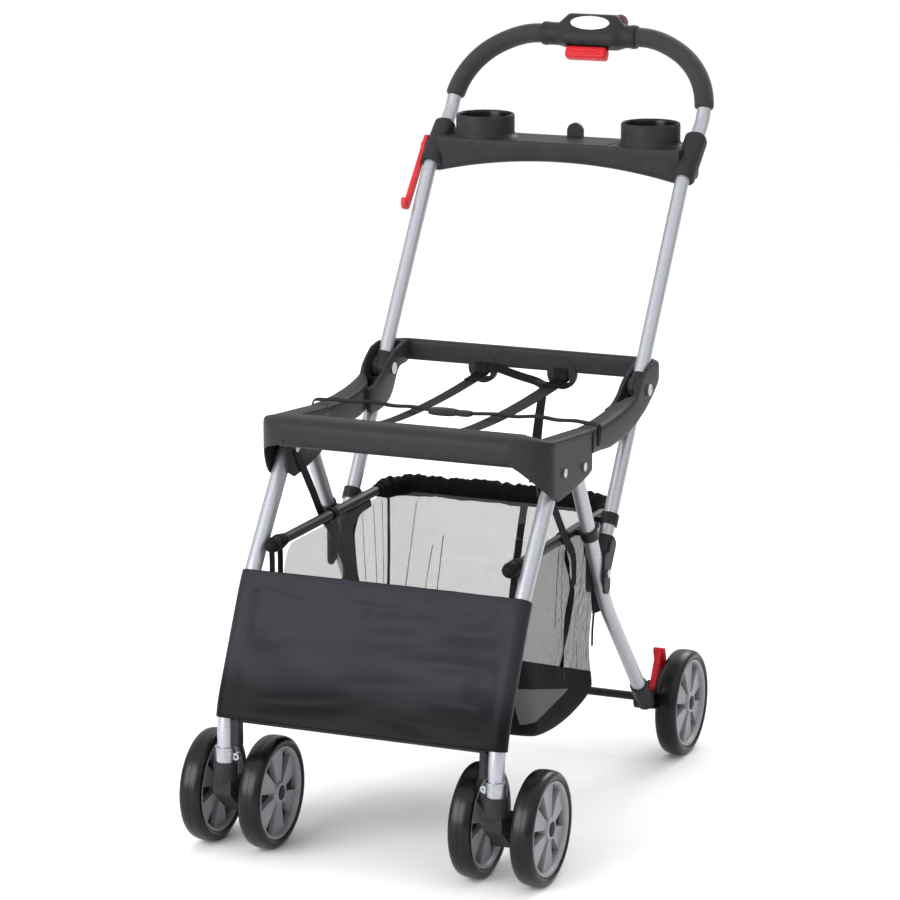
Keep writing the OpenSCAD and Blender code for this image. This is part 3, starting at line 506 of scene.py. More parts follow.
def loft(bm, loops, closed=True, caps=True):
    """Skins loops of points by extruding their edges. UVs are in metres, round the first loop and onwards."""
    uv = bm.loops.layers.uv.verify()
    around = [0.0]
    for a, b in zip(loops[0], loops[0][1:]):
        around.append(around[-1] + (b - a).length)
    full = around[-1] + (loops[0][-1] - loops[0][0]).length
    count = len(around)
    last = count if closed else count - 1
    row = [bm.verts.new(p) for p in loops[0]]
    edges = [bm.edges.new((row[i], row[(i + 1) % count])) for i in range(last)]
    first_edges = edges
    marks = {v: (u, 0.0) for v, u in zip(row, around)}
    faces = []
    length = 0.0
    for before, loop in zip(loops, loops[1:]):
        grown = bmesh.ops.extrude_edge_only(bm, edges=edges)["geom"]
        faces += [g for g in grown if isinstance(g, bmesh.types.BMFace)]
        old = set(row)
        fresh = {}
        for v in grown:
            if isinstance(v, bmesh.types.BMVert):
                fresh.update({e.other_vert(v): v for e in v.link_edges if e.other_vert(v) in old})
        row = [fresh[v] for v in row]
        length += sum((a - b).length for a, b in zip(before, loop)) / count
        for v, p, u in zip(row, loop, around):
            v.co = p
            marks[v] = (u, length)
        edges = [bm.edges.get((row[i], row[(i + 1) % count])) for i in range(last)]
    if caps and closed:
        bmesh.ops.contextual_create(bm, geom=first_edges)
        bmesh.ops.contextual_create(bm, geom=edges)
    for f in faces:
        turns = [marks[corner.vert][0] for corner in f.loops]
        wraps = closed and max(turns) - min(turns) > full * 0.6
        for corner in f.loops:
            u, v = marks[corner.vert]
            corner[uv].uv = ((full if wraps and u == 0 else u) * MM, v * MM)


def sweep(bm, section, line, up, size=None, closed=True):
    """Carries a section, points [across, top], along a line. size gives its two scales along the way."""
    frames = frames_along(line, up)
    loops = []
    for k, f in enumerate(frames):
        wide, tall = size(k / (len(frames) - 1)) if size else (1, 1)
        loops.append([f @ Vector((a * wide, 0, b * tall)) for a, b in section])
    loft(bm, loops, closed)


def spin(bm, profile, steps):
    """Turns a closed profile of [x, radius] points round the X axis."""
    row = [bm.verts.new((x, 0, r)) for x, r in profile]
    edges = [bm.edges.new((a, b)) for a, b in zip(row, row[1:] + row[:1])]
    whole = {"cent": (0, 0, 0), "axis": (1, 0, 0), "angle": 2 * math.pi, "use_merge": True}
    bmesh.ops.spin(bm, geom=row + edges, steps=steps, **whole)


def ease_edges(bm, edges):
    """Rounds edges off a little."""
    bmesh.ops.bevel(bm, geom=edges, offset=0.8, affect="EDGES", segments=2, profile=0.5, material=-1)


def plate(bm, outline, x, thick):
    """Flat plate with a side view outline and eased edges."""
    row = [bm.verts.new((x, y, z)) for y, z in outline]
    grown = bmesh.ops.extrude_face_region(bm, geom=[bm.faces.new(row)])["geom"]
    verts = [g for g in grown if isinstance(g, bmesh.types.BMVert)]
    bmesh.ops.translate(bm, vec=(thick, 0, 0), verts=verts)
    ease_edges(bm, list({e for v in row + verts for e in v.link_edges}))


def bisect(bm, point, normal, **clear):
    """Cuts every face along a plane."""
    everything = bm.verts[:] + bm.edges[:] + bm.faces[:]
    bmesh.ops.bisect_plane(bm, geom=everything, dist=1e-4, plane_co=point, plane_no=normal, **clear)


def finish_piece(name, bm, finish, body, replaces=(), smooth_deg=35, recalc=True):
    """Scales a shape to metres, gives it its finish and lets it ride on its body."""
    if recalc:
        bmesh.ops.recalc_face_normals(bm, faces=bm.faces)
    bmesh.ops.scale(bm, vec=(MM, MM, MM), verts=bm.verts)
    mesh = bpy.data.meshes.new(name)
    bm.to_mesh(mesh)
    bm.free()
    piece = bpy.data.objects.new(name, mesh)
    SCENE.collection.objects.link(piece)
    mesh.materials.append(FINISH[finish])
    mesh.shade_smooth()
    mesh.set_sharp_from_angle(angle=math.radians(smooth_deg))
    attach(piece, body)
    if replaces:
        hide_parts(*replaces)
    return piece


def strap(name, points, width, thick, up, replaces=(), finish="webbing", size=None):
    """Flat webbing along a smooth line, on the standing frame. size scales its section along the way."""
    bm = bmesh.new()
    sweep(bm, soft_box(width, thick, 5.0, 20), smooth_line(points), up, size)
    return finish_piece(name, bm, finish, "main_frame", replaces)


def to_side(s, points):
    """Points of the right side, taken to the side s."""
    return [(s * x, y, z) for x, y, z in points]


# Wheels. Profiles are [x, radius], and all but the cap's are mirrored

TYRE_PROFILE = [
    (-10.5, RIM_R + 0.1), (-13.6, RIM_R + 0.4), (-15.2, 65.0), (-15.2, 66.0), (-15.9, 66.6), (-16.0, 68.5),
    (-15.5, 70.6), (-14.2, 72.8), (-11.8, 74.6), (-8.5, 75.6), (-4.5, 76.0), (-0.7, 76.0), (-0.4, 75.6),
]
RING_PROFILE = [
    (-10.5, RIM_R), (-14.0, RIM_R - 0.2), (-14.6, 61.6), (-14.0, 60.0), (-12.0, 58.2), (-9.0, 57.2),
    (-6.0, 56.6),
]
HUB_PROFILE = [(-15.4, 7.0), (-15.4, 13.4), (-14.4, 14.6), (-12.0, 15.4), (-3.0, 17.0)]
CAP_PROFILE = [(17.6, 0.01), (17.4, 4.0), (16.8, 7.6), (15.9, 10.0), (14.6, 10.9), (9.0, 10.9), (9.0, 0.01)]
DISC_PROFILE = [(-2.0, 57.0), (-2.0, 14.0)]
SPOKES = 6


def make_wheels():
    """Twin wheels on each caster and one wheel on each side at the rear."""
    for s, side in SIDES:
        for place, out in (("outer", 1), ("inner", -1)):
            centre = (s * (TUBE_X + out * TWIN_HALF), FRONT_AXLE_Y, WHEEL_R)
            make_wheel("front", f"{side}_{place}", centre, s * out)
        make_wheel("rear", side, (s * REAR_WHEEL_X, REAR_AXLE_Y, WHEEL_R), s)


def make_wheel(row, tag, centre, face):
    """One wheel: tyre, spoked rim, a hub cap on its outer face and a disc behind the spokes, black as painted
    shade in the windows between them.
    """
    body = f"{row}_wheel_{tag}"
    cap = [(x * face, r) for x, r in CAP_PROFILE]
    parts = [
        ("tyre", "tyre_rubber", 50, [(mirrored(TYRE_PROFILE), 80)]),
        ("rim", "rim_grey", 35, [(mirrored(RING_PROFILE), 80), (mirrored(HUB_PROFILE), 48)]),
        ("hub_cap", "black_plastic", 35, [(cap, 40)]),
        # The disc's black plastic paints the shade in the rim's windows between the spokes
        ("wheel_shade_disc", "black_plastic", 35, [(mirrored(DISC_PROFILE), 48)]),
    ]
    for part, finish, smooth_deg, rings in parts:
        bm = bmesh.new()
        for profile, steps in rings:
            spin(bm, profile, steps)
        if part == "rim":
            for k in range(SPOKES):
                for s in (-1, 1):
                    add_spoke(bm, s, 2 * math.pi * k / SPOKES)
        bmesh.ops.translate(bm, vec=centre, verts=bm.verts)
        node = [f"{row}_{part}_{tag}"] if part in ("tyre", "rim") else []
        finish_piece(f"{part}_of_{body}", bm, finish, body, node, smooth_deg=smooth_deg)


def add_spoke(bm, side, angle):
    """Wedge spoke on one face of the rim, with a sunk panel. Its ends are [radius, half width, height]."""
    hub = (13.5, 5.2, 12.4)
    ring = (58.0, 18.0, 9.6)
    root = 1.5
    made = bmesh.ops.create_cube(bm, size=1)["verts"]
    for v in made:
        radius, half, top = ring if v.co.z > 0 else hub
        v.co = Vector((side * (top if v.co.x > 0 else root), math.copysign(half, v.co.y), radius))
    faces = {f for v in made for f in v.link_faces}
    outer = max(faces, key=lambda f: abs(f.calc_center_median().x))
    edges = list(outer.edges)
    inset = bmesh.ops.inset_individual(bm, faces=[outer], thickness=2.0, depth=0.0)
    for v in outer.verts:
        v.co.x -= side * 1.1
    turned = {v for f in faces.union(inset["faces"]) for v in f.verts}
    bmesh.ops.rotate(bm, cent=(0, 0, 0), matrix=Matrix.Rotation(angle, 3, "X"), verts=list(turned))
    ease_edges(bm, [e for e in edges if e.is_valid])


# Front panel. Wrinkles: place across and up, slope, half length, half width as shares, and height in mm

PANEL_WRINKLES = [
    (-0.8, 0.9, -0.14, 0.13, 0.045, -3.3),
    (-0.61, 0.92, -0.12, 0.17, 0.042, 3.6),
    (-0.4, 0.89, -0.12, 0.17, 0.039, -3.3),
    (-0.05, 0.86, -0.05, 0.36, 0.045, 3.9),
    (0.3, 0.82, -0.03, 0.3, 0.042, -3.6),
    (0.73, 0.765, 0.05, 0.26, 0.0675, -7.5),
    (0.62, 0.54, 0.02, 0.3, 0.0525, 5.1),
    (-0.27, 0.19, 0.16, 0.28, 0.075, 7.5),
    (-0.62, 0.16, 0.1, 0.22, 0.06, 5.4),
    (0.7, 0.28, -0.06, 0.28, 0.06, 4.8),
    (0.1, 0.35, 0.07, 0.33, 0.06, 4.2),
    (-0.75, 0.6, 0.14, 0.16, 0.075, -3.9),
    (0.35, 0.13, -0.05, 0.3, 0.0525, -4.5),
    (0.86, 0.42, 0.2, 0.1, 0.06, -3.6),
    (0.15, 0.68, 0.06, 0.28, 0.06, -3.3),
]


def panel_slack(x, t):
    """How far the panel stands out from the plane of the legs, at x and at t from its bottom to its top."""
    u = x / PANEL_FREE
    free = 1 - u * u
    arc = math.sin(math.pi * t)
    belly = -3.4 * free * arc**0.8
    pull = 1.8 * math.sin(0.045 * x + 3.2 * t) * (1 - free) * arc
    slack = 7.0 * noise.noise(Vector((x * 0.007, 0.3, t * 2.8 + x * 0.005)))
    slack += 2.0 * noise.noise(Vector((x * 0.016 + t * 1.8, 4.0, t * 3.4)))
    for place, height, slope, long, wide, rise in PANEL_WRINKLES:
        up = t - slope * (u - place) - height
        slack += rise * math.exp(-(((u - place) / long) ** 2) - (up / wide) ** 2)
    # Small gathers below the top hem
    slack += 1.9 * math.sin(0.12 * x + 2 * math.sin(0.03 * x) - 9 * t) * math.exp(-(((t - 0.9) / 0.09) ** 2))
    hem = 0.8 * (ease((t - 0.925) / 0.012) + ease((0.065 - t) / 0.012))
    held = min(1, 6 * free)
    return belly + hem * held + pull + slack * held * (0.3 + 0.7 * arc)


def make_panel():
    """Cloth panel round both front legs: pulled flat between them, with hems and slack folds."""
    line = resample(rounded_path(LEG_PATH, LEG_BENDS, 14), 230)
    line = [Vector((0, p.x, p.y)) for p in line if PANEL_LOW <= p.y <= PANEL_HIGH]
    wrap = 18
    wrap_turn = 205
    cells = 100
    section = []
    for k in range(wrap + 1):
        turn = math.radians(wrap_turn * (1 - k / wrap))
        section.append((-TUBE_X - SLEEVE_R * math.sin(turn), SLEEVE_R * math.cos(turn)))
    section += [(TUBE_X * (2 * k / cells - 1), SLEEVE_R) for k in range(1, cells)]
    section += [(-x, out) for x, out in reversed(section[: wrap + 1])]
    front = (0, -1, 0.4)
    bm = bmesh.new()
    sweep(bm, section, line, front, closed=False)
    outward = [f.to_3x3() @ Vector((0, 0, 1)) for f in frames_along(line, front)]
    for v in bm.verts:
        if abs(v.co.x) < PANEL_FREE:
            k = min(range(len(line)), key=lambda i: abs(line[i].z - v.co.z))
            v.co += outward[k] * panel_slack(v.co.x, k / (len(line) - 1))
    panel = finish_piece(
        "front_panel_cloth", bm, "panel_cloth", "front_legs", ["front_panel"], smooth_deg=60, recalc=False
    )
    wall = panel.modifiers.new("cloth", "SOLIDIFY")
    wall.thickness = 0.0009
    wall.offset = 0


# Basket

# Corners [y, z] of the net window in each side of the bag's base
WINDOW = [(-268, 226), (-63, 171), (-206, 157)]
WINDOW_X = 140
# Where the net meets the base: a point and the slope's normal
BASE_CUT = Vector((0, -279, 271))
BASE_SLOPE = Vector((0, 0.325, 1)).normalized()
BASE_SAG_Z = 118
SIDE_BANDS = {
    "left": (20, [
        (-171, 6, 391), (-172, -40, 386), (-172, -66, 366), (-172, -64, 330), (-171, -58, 294),
        (-168, -46, 262), (-159, -30, 236),
    ]),
    "right": (13, [
        (171, 6, 391), (172, -22, 386), (172, -34, 366), (171, -17, 340), (169, 0, 310),
        (166, 14, 280), (161, 31, 256),
    ]),
}
PULL_STRAP = [
    (171, -113, 388), (170, -110, 370), (169.5, -98, 340), (169, -86, 316), (168, -97, 284), (166, -103, 248),
    (163, -107, 214),
]
# Pleats across the back, by x above and below and where they start, then along a side, by place and drift
REAR_PLEATS = [(-128, -146, 0.05), (-101, -114, 0.28), (-84, -93, 0.22), (96, 104, 0.1)]
SIDE_PLEATS = [(0.5, 0.05), (0.74, -0.03), (0.84, 0.02), (0.92, 0.015)]


def bag_ring(count=128, corner=34):
    """Places [a, b] round the bag: a across it from -1 to 1, and b from 0 at its front to 1 at its back."""
    x, y = BAG_HALF, BAG_HALF_DEPTH
    start = (corner - x, -y)
    line = rounded_path([start, (x, -y), (x, y), (-x, y), (-x, -y), start], [corner] * 4, 40)
    return [(p.x / x, 0.5 + 0.5 * p.y / y) for p in resample(line, 2 * count + 1)[1::2]]


def curl(t, start):
    """Turn of the bag's wall towards its base, from 0 at start to 1 at the base."""
    return max(0, (t - start) / (1 - start)) ** 2


def bag_point(a, b, t):
    """Point of the bag's wall: a across, b front to back, t rim to base. The rim dips at the front."""
    half = BAG_HALF - 10 * t - 5 * math.sin(math.pi * t) - 9 * curl(t, 0.9)
    front = BAG_FRONT + 118 * t + 6 * curl(t, 0.9)
    back = along_list(BAG_BACK, t) - 5 * curl(t, 0.92)
    rim = BAG_TOP - BAG_FRONT_DIP * (1 - ease(b / 0.14))
    base = 136 - 54 * b * (1 - b) + 2 * b
    return Vector((a * half, mix(front, back, b), mix(rim, base, t)))


def bag_loops():
    """Loops of the bag: down its creased walls, then inwards over its sagging base."""
    ring = bag_ring()
    levels = 30
    rounds = 10
    centre = Vector((0, -72, 0))
    loops = []
    for k in range(levels + 1):
        t = k / levels
        slack = math.sin(math.pi * t) ** 0.7
        loop = []
        for a, b in ring:
            out = Vector((a**3, 2 * b - 1 if abs(a) < 0.9 else 0, 0)).normalized()
            crease = noise.noise(Vector((a * 9 + t * 1.6, b * 9 - t * 2.2, 0.7 * t)))
            wave = noise.noise(Vector((a * 2.4, b * 2.6, 1.8 * t + 5)))
            loop.append(bag_point(a, b, t) + out * slack * (2.6 * crease + 3.4 * wave))
        loops.append(loop)
    for k in range(1, rounds + 1):
        share = 1 - k / (rounds + 0.5)
        loop = []
        for a, b in ring:
            edge = bag_point(a, b, 1)
            p = centre + (edge - centre) * share
            dip = noise.noise(Vector((p.x * 0.012, p.y * 0.012, 2.0)))
            p.z = mix(edge.z, BASE_SAG_Z, 1 - share**2) + 2.5 * dip * (1 - share)
            loop.append(p)
        loops.append(loop)
    return loops


def mark_windows(bm):
    """Cuts the window's outline into both sides of the base and gives it the second material."""
    sides = list(zip(WINDOW, WINDOW[1:] + WINDOW[:1]))
    for (y0, z0), (y1, z1) in sides:
        bisect(bm, (0, y0, z0), (0, z0 - z1, y1 - y0))
    for f in bm.faces:
        c = f.calc_center_median()
        inside = all((y1 - y0) * (c.z - z0) < (z1 - z0) * (c.y - y0) for (y0, z0), (y1, z1) in sides)
        if inside and abs(c.x) > WINDOW_X:
            f.material_index = 1


def make_bag():
    """Net walls of the bag and its black cloth base, which has a net window on each side."""
    loops = bag_loops()
    made = []
    for name, finish, slot in (
        ("basket_net", "mesh_cloth", "mesh_cloth"),
        ("basket_base_cloth", "bag_cloth", "panel_cloth"),
    ):
        low = name == "basket_base_cloth"
        bm = bmesh.new()
        loft(bm, loops)
        rim_cap = [f for f in bm.faces if len(f.verts) > 4 and f.calc_center_median().z > 300]
        bmesh.ops.delete(bm, geom=rim_cap, context="FACES_ONLY")
        bisect(bm, BASE_CUT, BASE_SLOPE, clear_inner=not low, clear_outer=low)
        if low:
            mark_windows(bm)
        made.append(finish_piece(name, bm, finish, "main_frame", ["basket"], smooth_deg=80))
    made[1].data.materials.append(FINISH["window_net"])
    return made


def twisted(s):
    """Way that the face of a loose, twisted strap looks along its length."""

    def face(t):
        turn = 2.4 * math.pi * t
        return s * (0.35 + 0.65 * abs(math.cos(turn))), 0.8 * math.sin(turn), 0

    return face


def make_pleats():
    """Pleats where the net doubles on itself, across the back and along the sides."""
    pleats = []
    for k, (high, low, start) in enumerate(REAR_PLEATS):
        line = []
        for share in (0, 0.25, 0.5, 0.75, 1):
            p = bag_point(mix(high, low, share) / BAG_HALF, 1.0, mix(start, 0.66, share))
            line.append(p + Vector((0, -1.0, 0)))
        pleats.append(strap(f"net_pleat_rear_{k}", line, 1.5, 0.5, (0, 1, 0), finish="mesh_cloth"))
    for s, side in SIDES:
        for k, (b, drift) in enumerate(SIDE_PLEATS):
            heights = (0.03, 0.2, 0.4, 0.6, 0.76)
            line = [bag_point(s, b + drift * t, t) + Vector((s * 0.6, 0, 0)) for t in heights]
            pleats.append(strap(f"net_pleat_{side}_{k}", line, 1.5, 0.5, (s, 0, 0), finish="mesh_cloth"))
    return pleats


def make_basket():
    """Hanging bag with its piping, bands, tapes and pleats, each with a mesh of its own."""
    net, base = make_bag()
    soft = [net, base]
    # Piping down the rear edges, a loose band from each rail, a tape down the back and the pull straps
    for s, side in SIDES:
        line = [bag_point(s * 0.985, 0.965, t) + Vector((s * 0.8, 0.8, 0)) for t in (0, 0.2, 0.4, 0.6, 0.72)]
        soft.append(strap(f"basket_corner_piping_{side}", line, 4, 1.4, (s * 0.7, 0.7, 0)))
    for side, (wide, path) in SIDE_BANDS.items():
        soft.append(strap(f"basket_side_band_{side}", path, wide, 1.4, (0.62, -0.78, 0.05)))
    tape = ((36, 0.0), (34, 0.2), (32, 0.45), (31, 0.7), (31, 0.95))
    line = [bag_point(x / BAG_HALF, 1.0, t) + Vector((0, 2.2, 0)) for x, t in tape]
    soft.append(strap("basket_rear_tape", line, 11, 1.3, (0, 1, 0)))
    for s, side in SIDES:
        soft.append(strap(f"basket_pull_strap_{side}", to_side(s, PULL_STRAP), 9, 1.3, twisted(s)))
    pleats = make_pleats()
    for piece in soft + pleats:
        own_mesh(piece)


def make_sleeve():
    """Cloth gathered on the rear crossbar: ripples that run round the bar, tighter along its top."""
    start = 24
    ends = [(-RAIL_X, start), (-RAIL_X, RAIL_BACK), (RAIL_X, RAIL_BACK), (RAIL_X, start)]
    line = rounded_path([(x, y, RAIL_Z) for x, y in ends], [RAIL_BEND, RAIL_BEND], 20)
    frames = frames_along(resample(line, 230), (0, 0, 1))
    loops = []
    for k, f in enumerate(frames):
        t = k / (len(frames) - 1)
        open_share = min(1, 14 * t, 14 * (1 - t))
        wide = 8.4 + 3.4 * open_share
        tall = 8.4 + 7.0 * open_share
        loop = []
        for c, s in circle(1, 28):
            gather = noise.noise(Vector((t * 62, 0.35 * c, 0.35 * s))) * (0.35 + 0.9 * (0.5 + 0.5 * s))
            slow = noise.noise(Vector((t * 13, c, s)))
            r = 1 + 0.17 * gather + 0.15 * slow
            loop.append(f @ Vector((wide * r * c, 0, tall * r * s - 1.2 * open_share)))
        loops.append(loop)
    bm = bmesh.new()
    loft(bm, loops)
    sleeve = finish_piece(
        "basket_sleeve_cloth", bm, "bag_cloth", "main_frame", ["basket_sleeve"], smooth_deg=80
    )


# Straps of the tray and of the basket rails

# Belt over one half of the tray and down its side, as [x, z]
BELT_PATH = [
    (62, 554), (90, 553), (122, 556), (150, 553.6), (176, 554.5), (192, 553), (206, 552),
    (210.5, 546), (210, 524),
]
BUCKLE_Z = 551
SIDE_STRAP = [
    (177.4, -222, 512), (177.6, -198, 480), (178.2, -168, 442), (179.2, -137, 402),
    (178.4, -106, 370), (177, -99, 328),
]


def make_seat_straps():
    """Two long straps from the anchors, the short one between those, and the hanging one with its slider."""
    for s, side in SIDES:
        x = s * LOBE_X
        wide, node = (20, ["seat_straps"]) if s < 0 else (25, [])
        path = [(x, 152, 556), (x, 140, 553), (x, 40, 548), (x, -60, 546.5), (x, -160, 549), (x, -246.5, 557)]
        strap(f"seat_strap_{side}", path, wide, 1.7, (0, 0, 1), node)
        fold = [(x, 147.6, 571), (x, 146.8, 560), (x, 144, 555), (x, 128, 553.6), (x, 106, 552.6)]
        strap(f"seat_strap_end_{side}", fold, 20, 1.7, lambda t: (0, -1 + 0.9 * t, 0.2 + 0.8 * t))
    short = [(-49, 146.5, 566), (-30, 145, 563), (0, 140, 557), (30, 131, 553), (46, 122, 549)]
    strap("short_strap", short, 13, 1.5, (0, -0.7, 0.7))
    hang = [(46, 120, 550), (47, 112, 540), (47, 100, 510), (46, 90, 465), (46, 84, 418)]
    strap("hanging_strap", hang, 12, 1.5, (0, -1, 0.25), size=lambda t: (0.9 + 0.45 * t, 1))
    low, high = (121, 541.5), (113, 557)
    bm = bmesh.new()
    for x in (-9.5, 0, 9.5):
        bar = [(46 + x * 0.7, y - x * 0.35, z) for y, z in (low, high)]
        sweep(bm, soft_box(3, 3), bar, (0, 1, 0.3))
    for y, z in (low, high):
        sweep(bm, soft_box(3, 3.4), [(36, y + 4.5, z), (56, y - 4.5, z)], (0, 0, 1))
    finish_piece("strap_slider", bm, "black_plastic", "main_frame")


def belt_face(s):
    """Way that the belt's face looks: up across the tray, and outwards where it drops over the edge."""

    def face(t):
        flat = min(1, 5 - 5 * t)
        return s * max(0, 5 * t - 4), -0.22 * flat, flat + 0.02

    return face


def make_belt():
    """Thin belt across the tray, and its buckle of two halves with spring arms between them."""
    for (s, side), start in zip(SIDES, (-32, 25)):
        path = [(start, BELT_Y, 551.6)] + [(s * x, BELT_Y, z) for x, z in BELT_PATH]
        strap(f"belt_{side}", path, 10, 1.6, belt_face(s), ["belt"] if s < 0 else [])

    def crowned(t):
        rise = math.sin(math.pi * t) ** 0.5
        return 0.82 + 0.18 * rise, 0.75 + 0.25 * rise

    bm = bmesh.new()
    for x0, x1, wide, tall in ((-34, 3.5, 22, 10), (4.5, 26, 16, 8)):
        line = [(mix(x0, x1, k / 8), BELT_Y, BUCKLE_Z) for k in range(9)]
        sweep(bm, soft_box(wide, tall, 3.4), line, (0, 0, 1), crowned)
    for s in (-1, 1):
        line = [(x, BELT_Y + s * out, BUCKLE_Z) for x, out in ((-6, 6.5), (2, 8.6), (9, 6))]
        sweep(bm, soft_box(4, 5), smooth_line(line), (0, 0, 1))
    finish_piece("belt_buckle", bm, "black_plastic", "main_frame", ["buckle"])


def hood_size(t):
    """Scales of the webbing tied over a rail's end: a round nose, then a waist and a lip."""
    r = rounded_end(2.6 * t, 0.2)
    r -= 0.1 * math.sin(math.pi * max(0, min(1, (t - 0.45) / 0.4)))
    return r, r


def make_rail_webbing():
    """Loops round the basket rails, hoods over their front ends with loose tails, and the side straps."""
    ring = circle(RAIL_R + 1.1, 24)
    for s, side in SIDES:
        bm = bmesh.new()
        for y in (RAIL_FRONT + 12, RAIL_FRONT + 32, -124):
            turns = [(s * (RAIL_X + a), y, RAIL_Z + b) for a, b in ring + ring[:1]]
            sweep(bm, soft_box(1.5, 13, 5.0), turns, (0, 1, 0))
        node = ["basket_webbing"] if s < 0 else []
        finish_piece(f"rail_loops_{side}", bm, "webbing", "main_frame", node)
        bm = bmesh.new()
        line = [(s * RAIL_X, RAIL_FRONT - 6 + 32 * k / 24, RAIL_Z) for k in range(25)]
        sweep(bm, circle(10.6, 28), line, (0, 0, 1), hood_size)
        finish_piece(f"rail_hood_{side}", bm, "webbing", "main_frame")
        for k, y in enumerate((RAIL_FRONT + 9, RAIL_FRONT + 34)):
            tail = ((3, 0, 391.5), (3.4, 2, 378), (2, -1, 362), (3, 1, 347))
            path = [(s * (RAIL_X + out), y + along, z) for out, along, z in tail]
            strap(f"rail_tail_{side}_{k}", path, 8, 1.4, (0, 1, 0.05))
        strap(f"side_strap_{side}", to_side(s, SIDE_STRAP), 16, 1.5, (s, 0, 0))


# Tray

# Low edge of the tray's skirt by degrees round each front corner, then by y along its side
CORNER_LOW = {
    1: [(0, 537), (8, 533), (20, 526), (32, 518), (45, 509), (58, 500), (70, 492), (80, 486), (90, 483)],
    -1: [(0, 537), (12, 533), (30, 529), (45, 525), (56, 521), (66, 514), (74, 504), (82, 493), (90, 483)],
}
SIDE_LOW = [(-247, 483), (-236, 477), (-190, 480), (-143, 486), (-126, 489), (-113, 493)]
# Inner wall of a leg pocket and cheek of a handle hinge, as [y, z]
POCKET_WALL = [
    (-266, 545), (-109.5, 540), (-110.4, 500), (-143, 487), (-190, 477), (-222, 473),
    (-240, 482), (-252, 520),
]
CHEEK = [
    (18, 513), (52, 511), (80, 518), (95, 528), (104, 540), (112, 552), (124, 561), (152, 565),
    (152, 592), (126, 590), (108, 585), (92, 579), (78, 571), (62, 559), (40, 550), (18, 548),
]
# Side arm of the tray by y: its width, top and bottom
ARM = [
    (-113, 30.6, 549, 514), (-80, 30.8, 548, 512), (-40, 31, 549, 508), (0, 30, 552, 510), (30, 26, 556, 513),
    (46, 18, 559, 518), (56, 10, 561, 522), (63, 5.2, 572, 525), (74, 5.2, 581, 529), (92, 5.2, 592, 535),
    (116, 5.2, 596, 547), (138, 8, 595, 561), (150, 14, 594, 564), (166, 14, 594, 564),
]
# Rings of a strap anchor: radius, y, and whether the ring is one of its slot
ANCHOR = [
    (12, 158, True), (22, 158, False), (22, 151.2, False), (20.8, 150, False), (13, 150, True),
    (12, 151, True), (12, 158, True),
]


def wall_loop(outer, inward, wide, top, bottom, power, count=28):
    """Soft-edged upright section that starts at an outer point and reaches inwards."""
    loop = []
    for across, up in soft_box(wide, top - bottom, power, count):
        p = outer + inward * (wide / 2 + across)
        loop.append(Vector((p.x, p.y, (top + bottom) / 2 + up)))
    return loop


def outline_stations(points, radius, count=181):
    """Outer points of a U seen from above, each with the direction inwards."""
    line = resample(rounded_path(points, [radius, radius], 24), count)
    out = []
    for i, p in enumerate(line):
        d = (line[min(i + 1, count - 1)] - line[max(i - 1, 0)]).normalized()
        out.append((p, Vector((-d.y, d.x))))
    return out


def skirt_low(p, n, side):
    """Low edge of the tray's skirt: it drops round the front corner and rises along the side."""
    turn = math.degrees(math.atan2(abs(n.x), abs(n.y)))
    if turn < 89:
        return table_at(CORNER_LOW[side], turn)[0]
    return table_at(SIDE_LOW, p.y)[0]


def make_tray_front():
    """Front bar of the tray, with its corners, their skirts and the leg pockets."""
    outer, front, corner, split = 207.4, -297, -259, -113
    rear = split - 0.2
    stations = outline_stations([(-outer, rear), (-outer, front), (outer, front), (outer, rear)], 50)
    bar = []
    skirts = {-1: [], 1: []}
    for p, n in stations:
        f = ease(abs(n.y))
        side_top = mix(562, 549, (p.y - corner) / (split - corner))
        top = mix(side_top, 570, f)
        bottom = mix(side_top - 22, 528, f)
        bar.append(wall_loop(p, n, mix(28.4, 50, f), top, bottom, mix(4.6, 3.0, f)))
        if abs(p.x) >= SKIRT_START:
            s = 1 if p.x > 0 else -1
            skirts[s].append(wall_loop(p, n, 3.2, mix(side_top - 6, 548, f), skirt_low(p, n, s), 6))
    bm = bmesh.new()
    loft(bm, bar)
    for s, skirt in skirts.items():
        loft(bm, skirt)
        plate(bm, POCKET_WALL, s * POCKET_X, s * 3.0)
    finish_piece("tray_front_moulding", bm, "black_plastic", "main_frame", ["tray_front"], smooth_deg=40)


def make_tray_rear():
    """Side arms of the tray and its rear bar, with the strap anchors and the cheeks of the handle hinges."""
    outer, start, rear = 209.4, -112.8, 166
    loops = []
    for p, n in outline_stations([(outer, start), (outer, rear), (-outer, rear), (-outer, start)], 30):
        wide, top, bottom = table_at(ARM, p.y)
        fillet = 22 * abs(n.x * n.y) if p.y > 136 else 0
        loops.append(wall_loop(p, n, wide + fillet, top, bottom, 4.4))
    bm = bmesh.new()
    loft(bm, loops)
    for s in (-1, 1):
        loops = []
        for r, y, slot in ANCHOR:
            ring = circle(r, 40)
            if slot:
                ring = [(x, z - 9) for x, z in soft_box(2 * r, 2 * (4.2 + (r - 12) * 0.8), 2.5, 40)]
            loops.append([Vector((s * LOBE_X + x, y, LOBE_Z + z)) for x, z in ring])
        loft(bm, loops, caps=False)
        plate(bm, smooth_line(CHEEK, 4), s * CHEEK_X, s * 6.2)
    bmesh.ops.remove_doubles(bm, verts=bm.verts, dist=0.001)
    finish_piece("tray_rear_moulding", bm, "black_plastic", "main_frame", ["tray_rear"], smooth_deg=40)


# Handle


def arch_point(x, w, n=0):
    """Point of the handle arch: w up its plane, and n off it towards the front."""
    return Vector((x, ARCH_Y, ARCH_Z)) + ARCH_UP * w + ARCH_OUT * n


def arch_read(p):
    """The x, w and n that arch_point turns into p."""
    d = p - arch_point(0, 0)
    return p.x, d.dot(ARCH_UP), d.dot(ARCH_OUT)


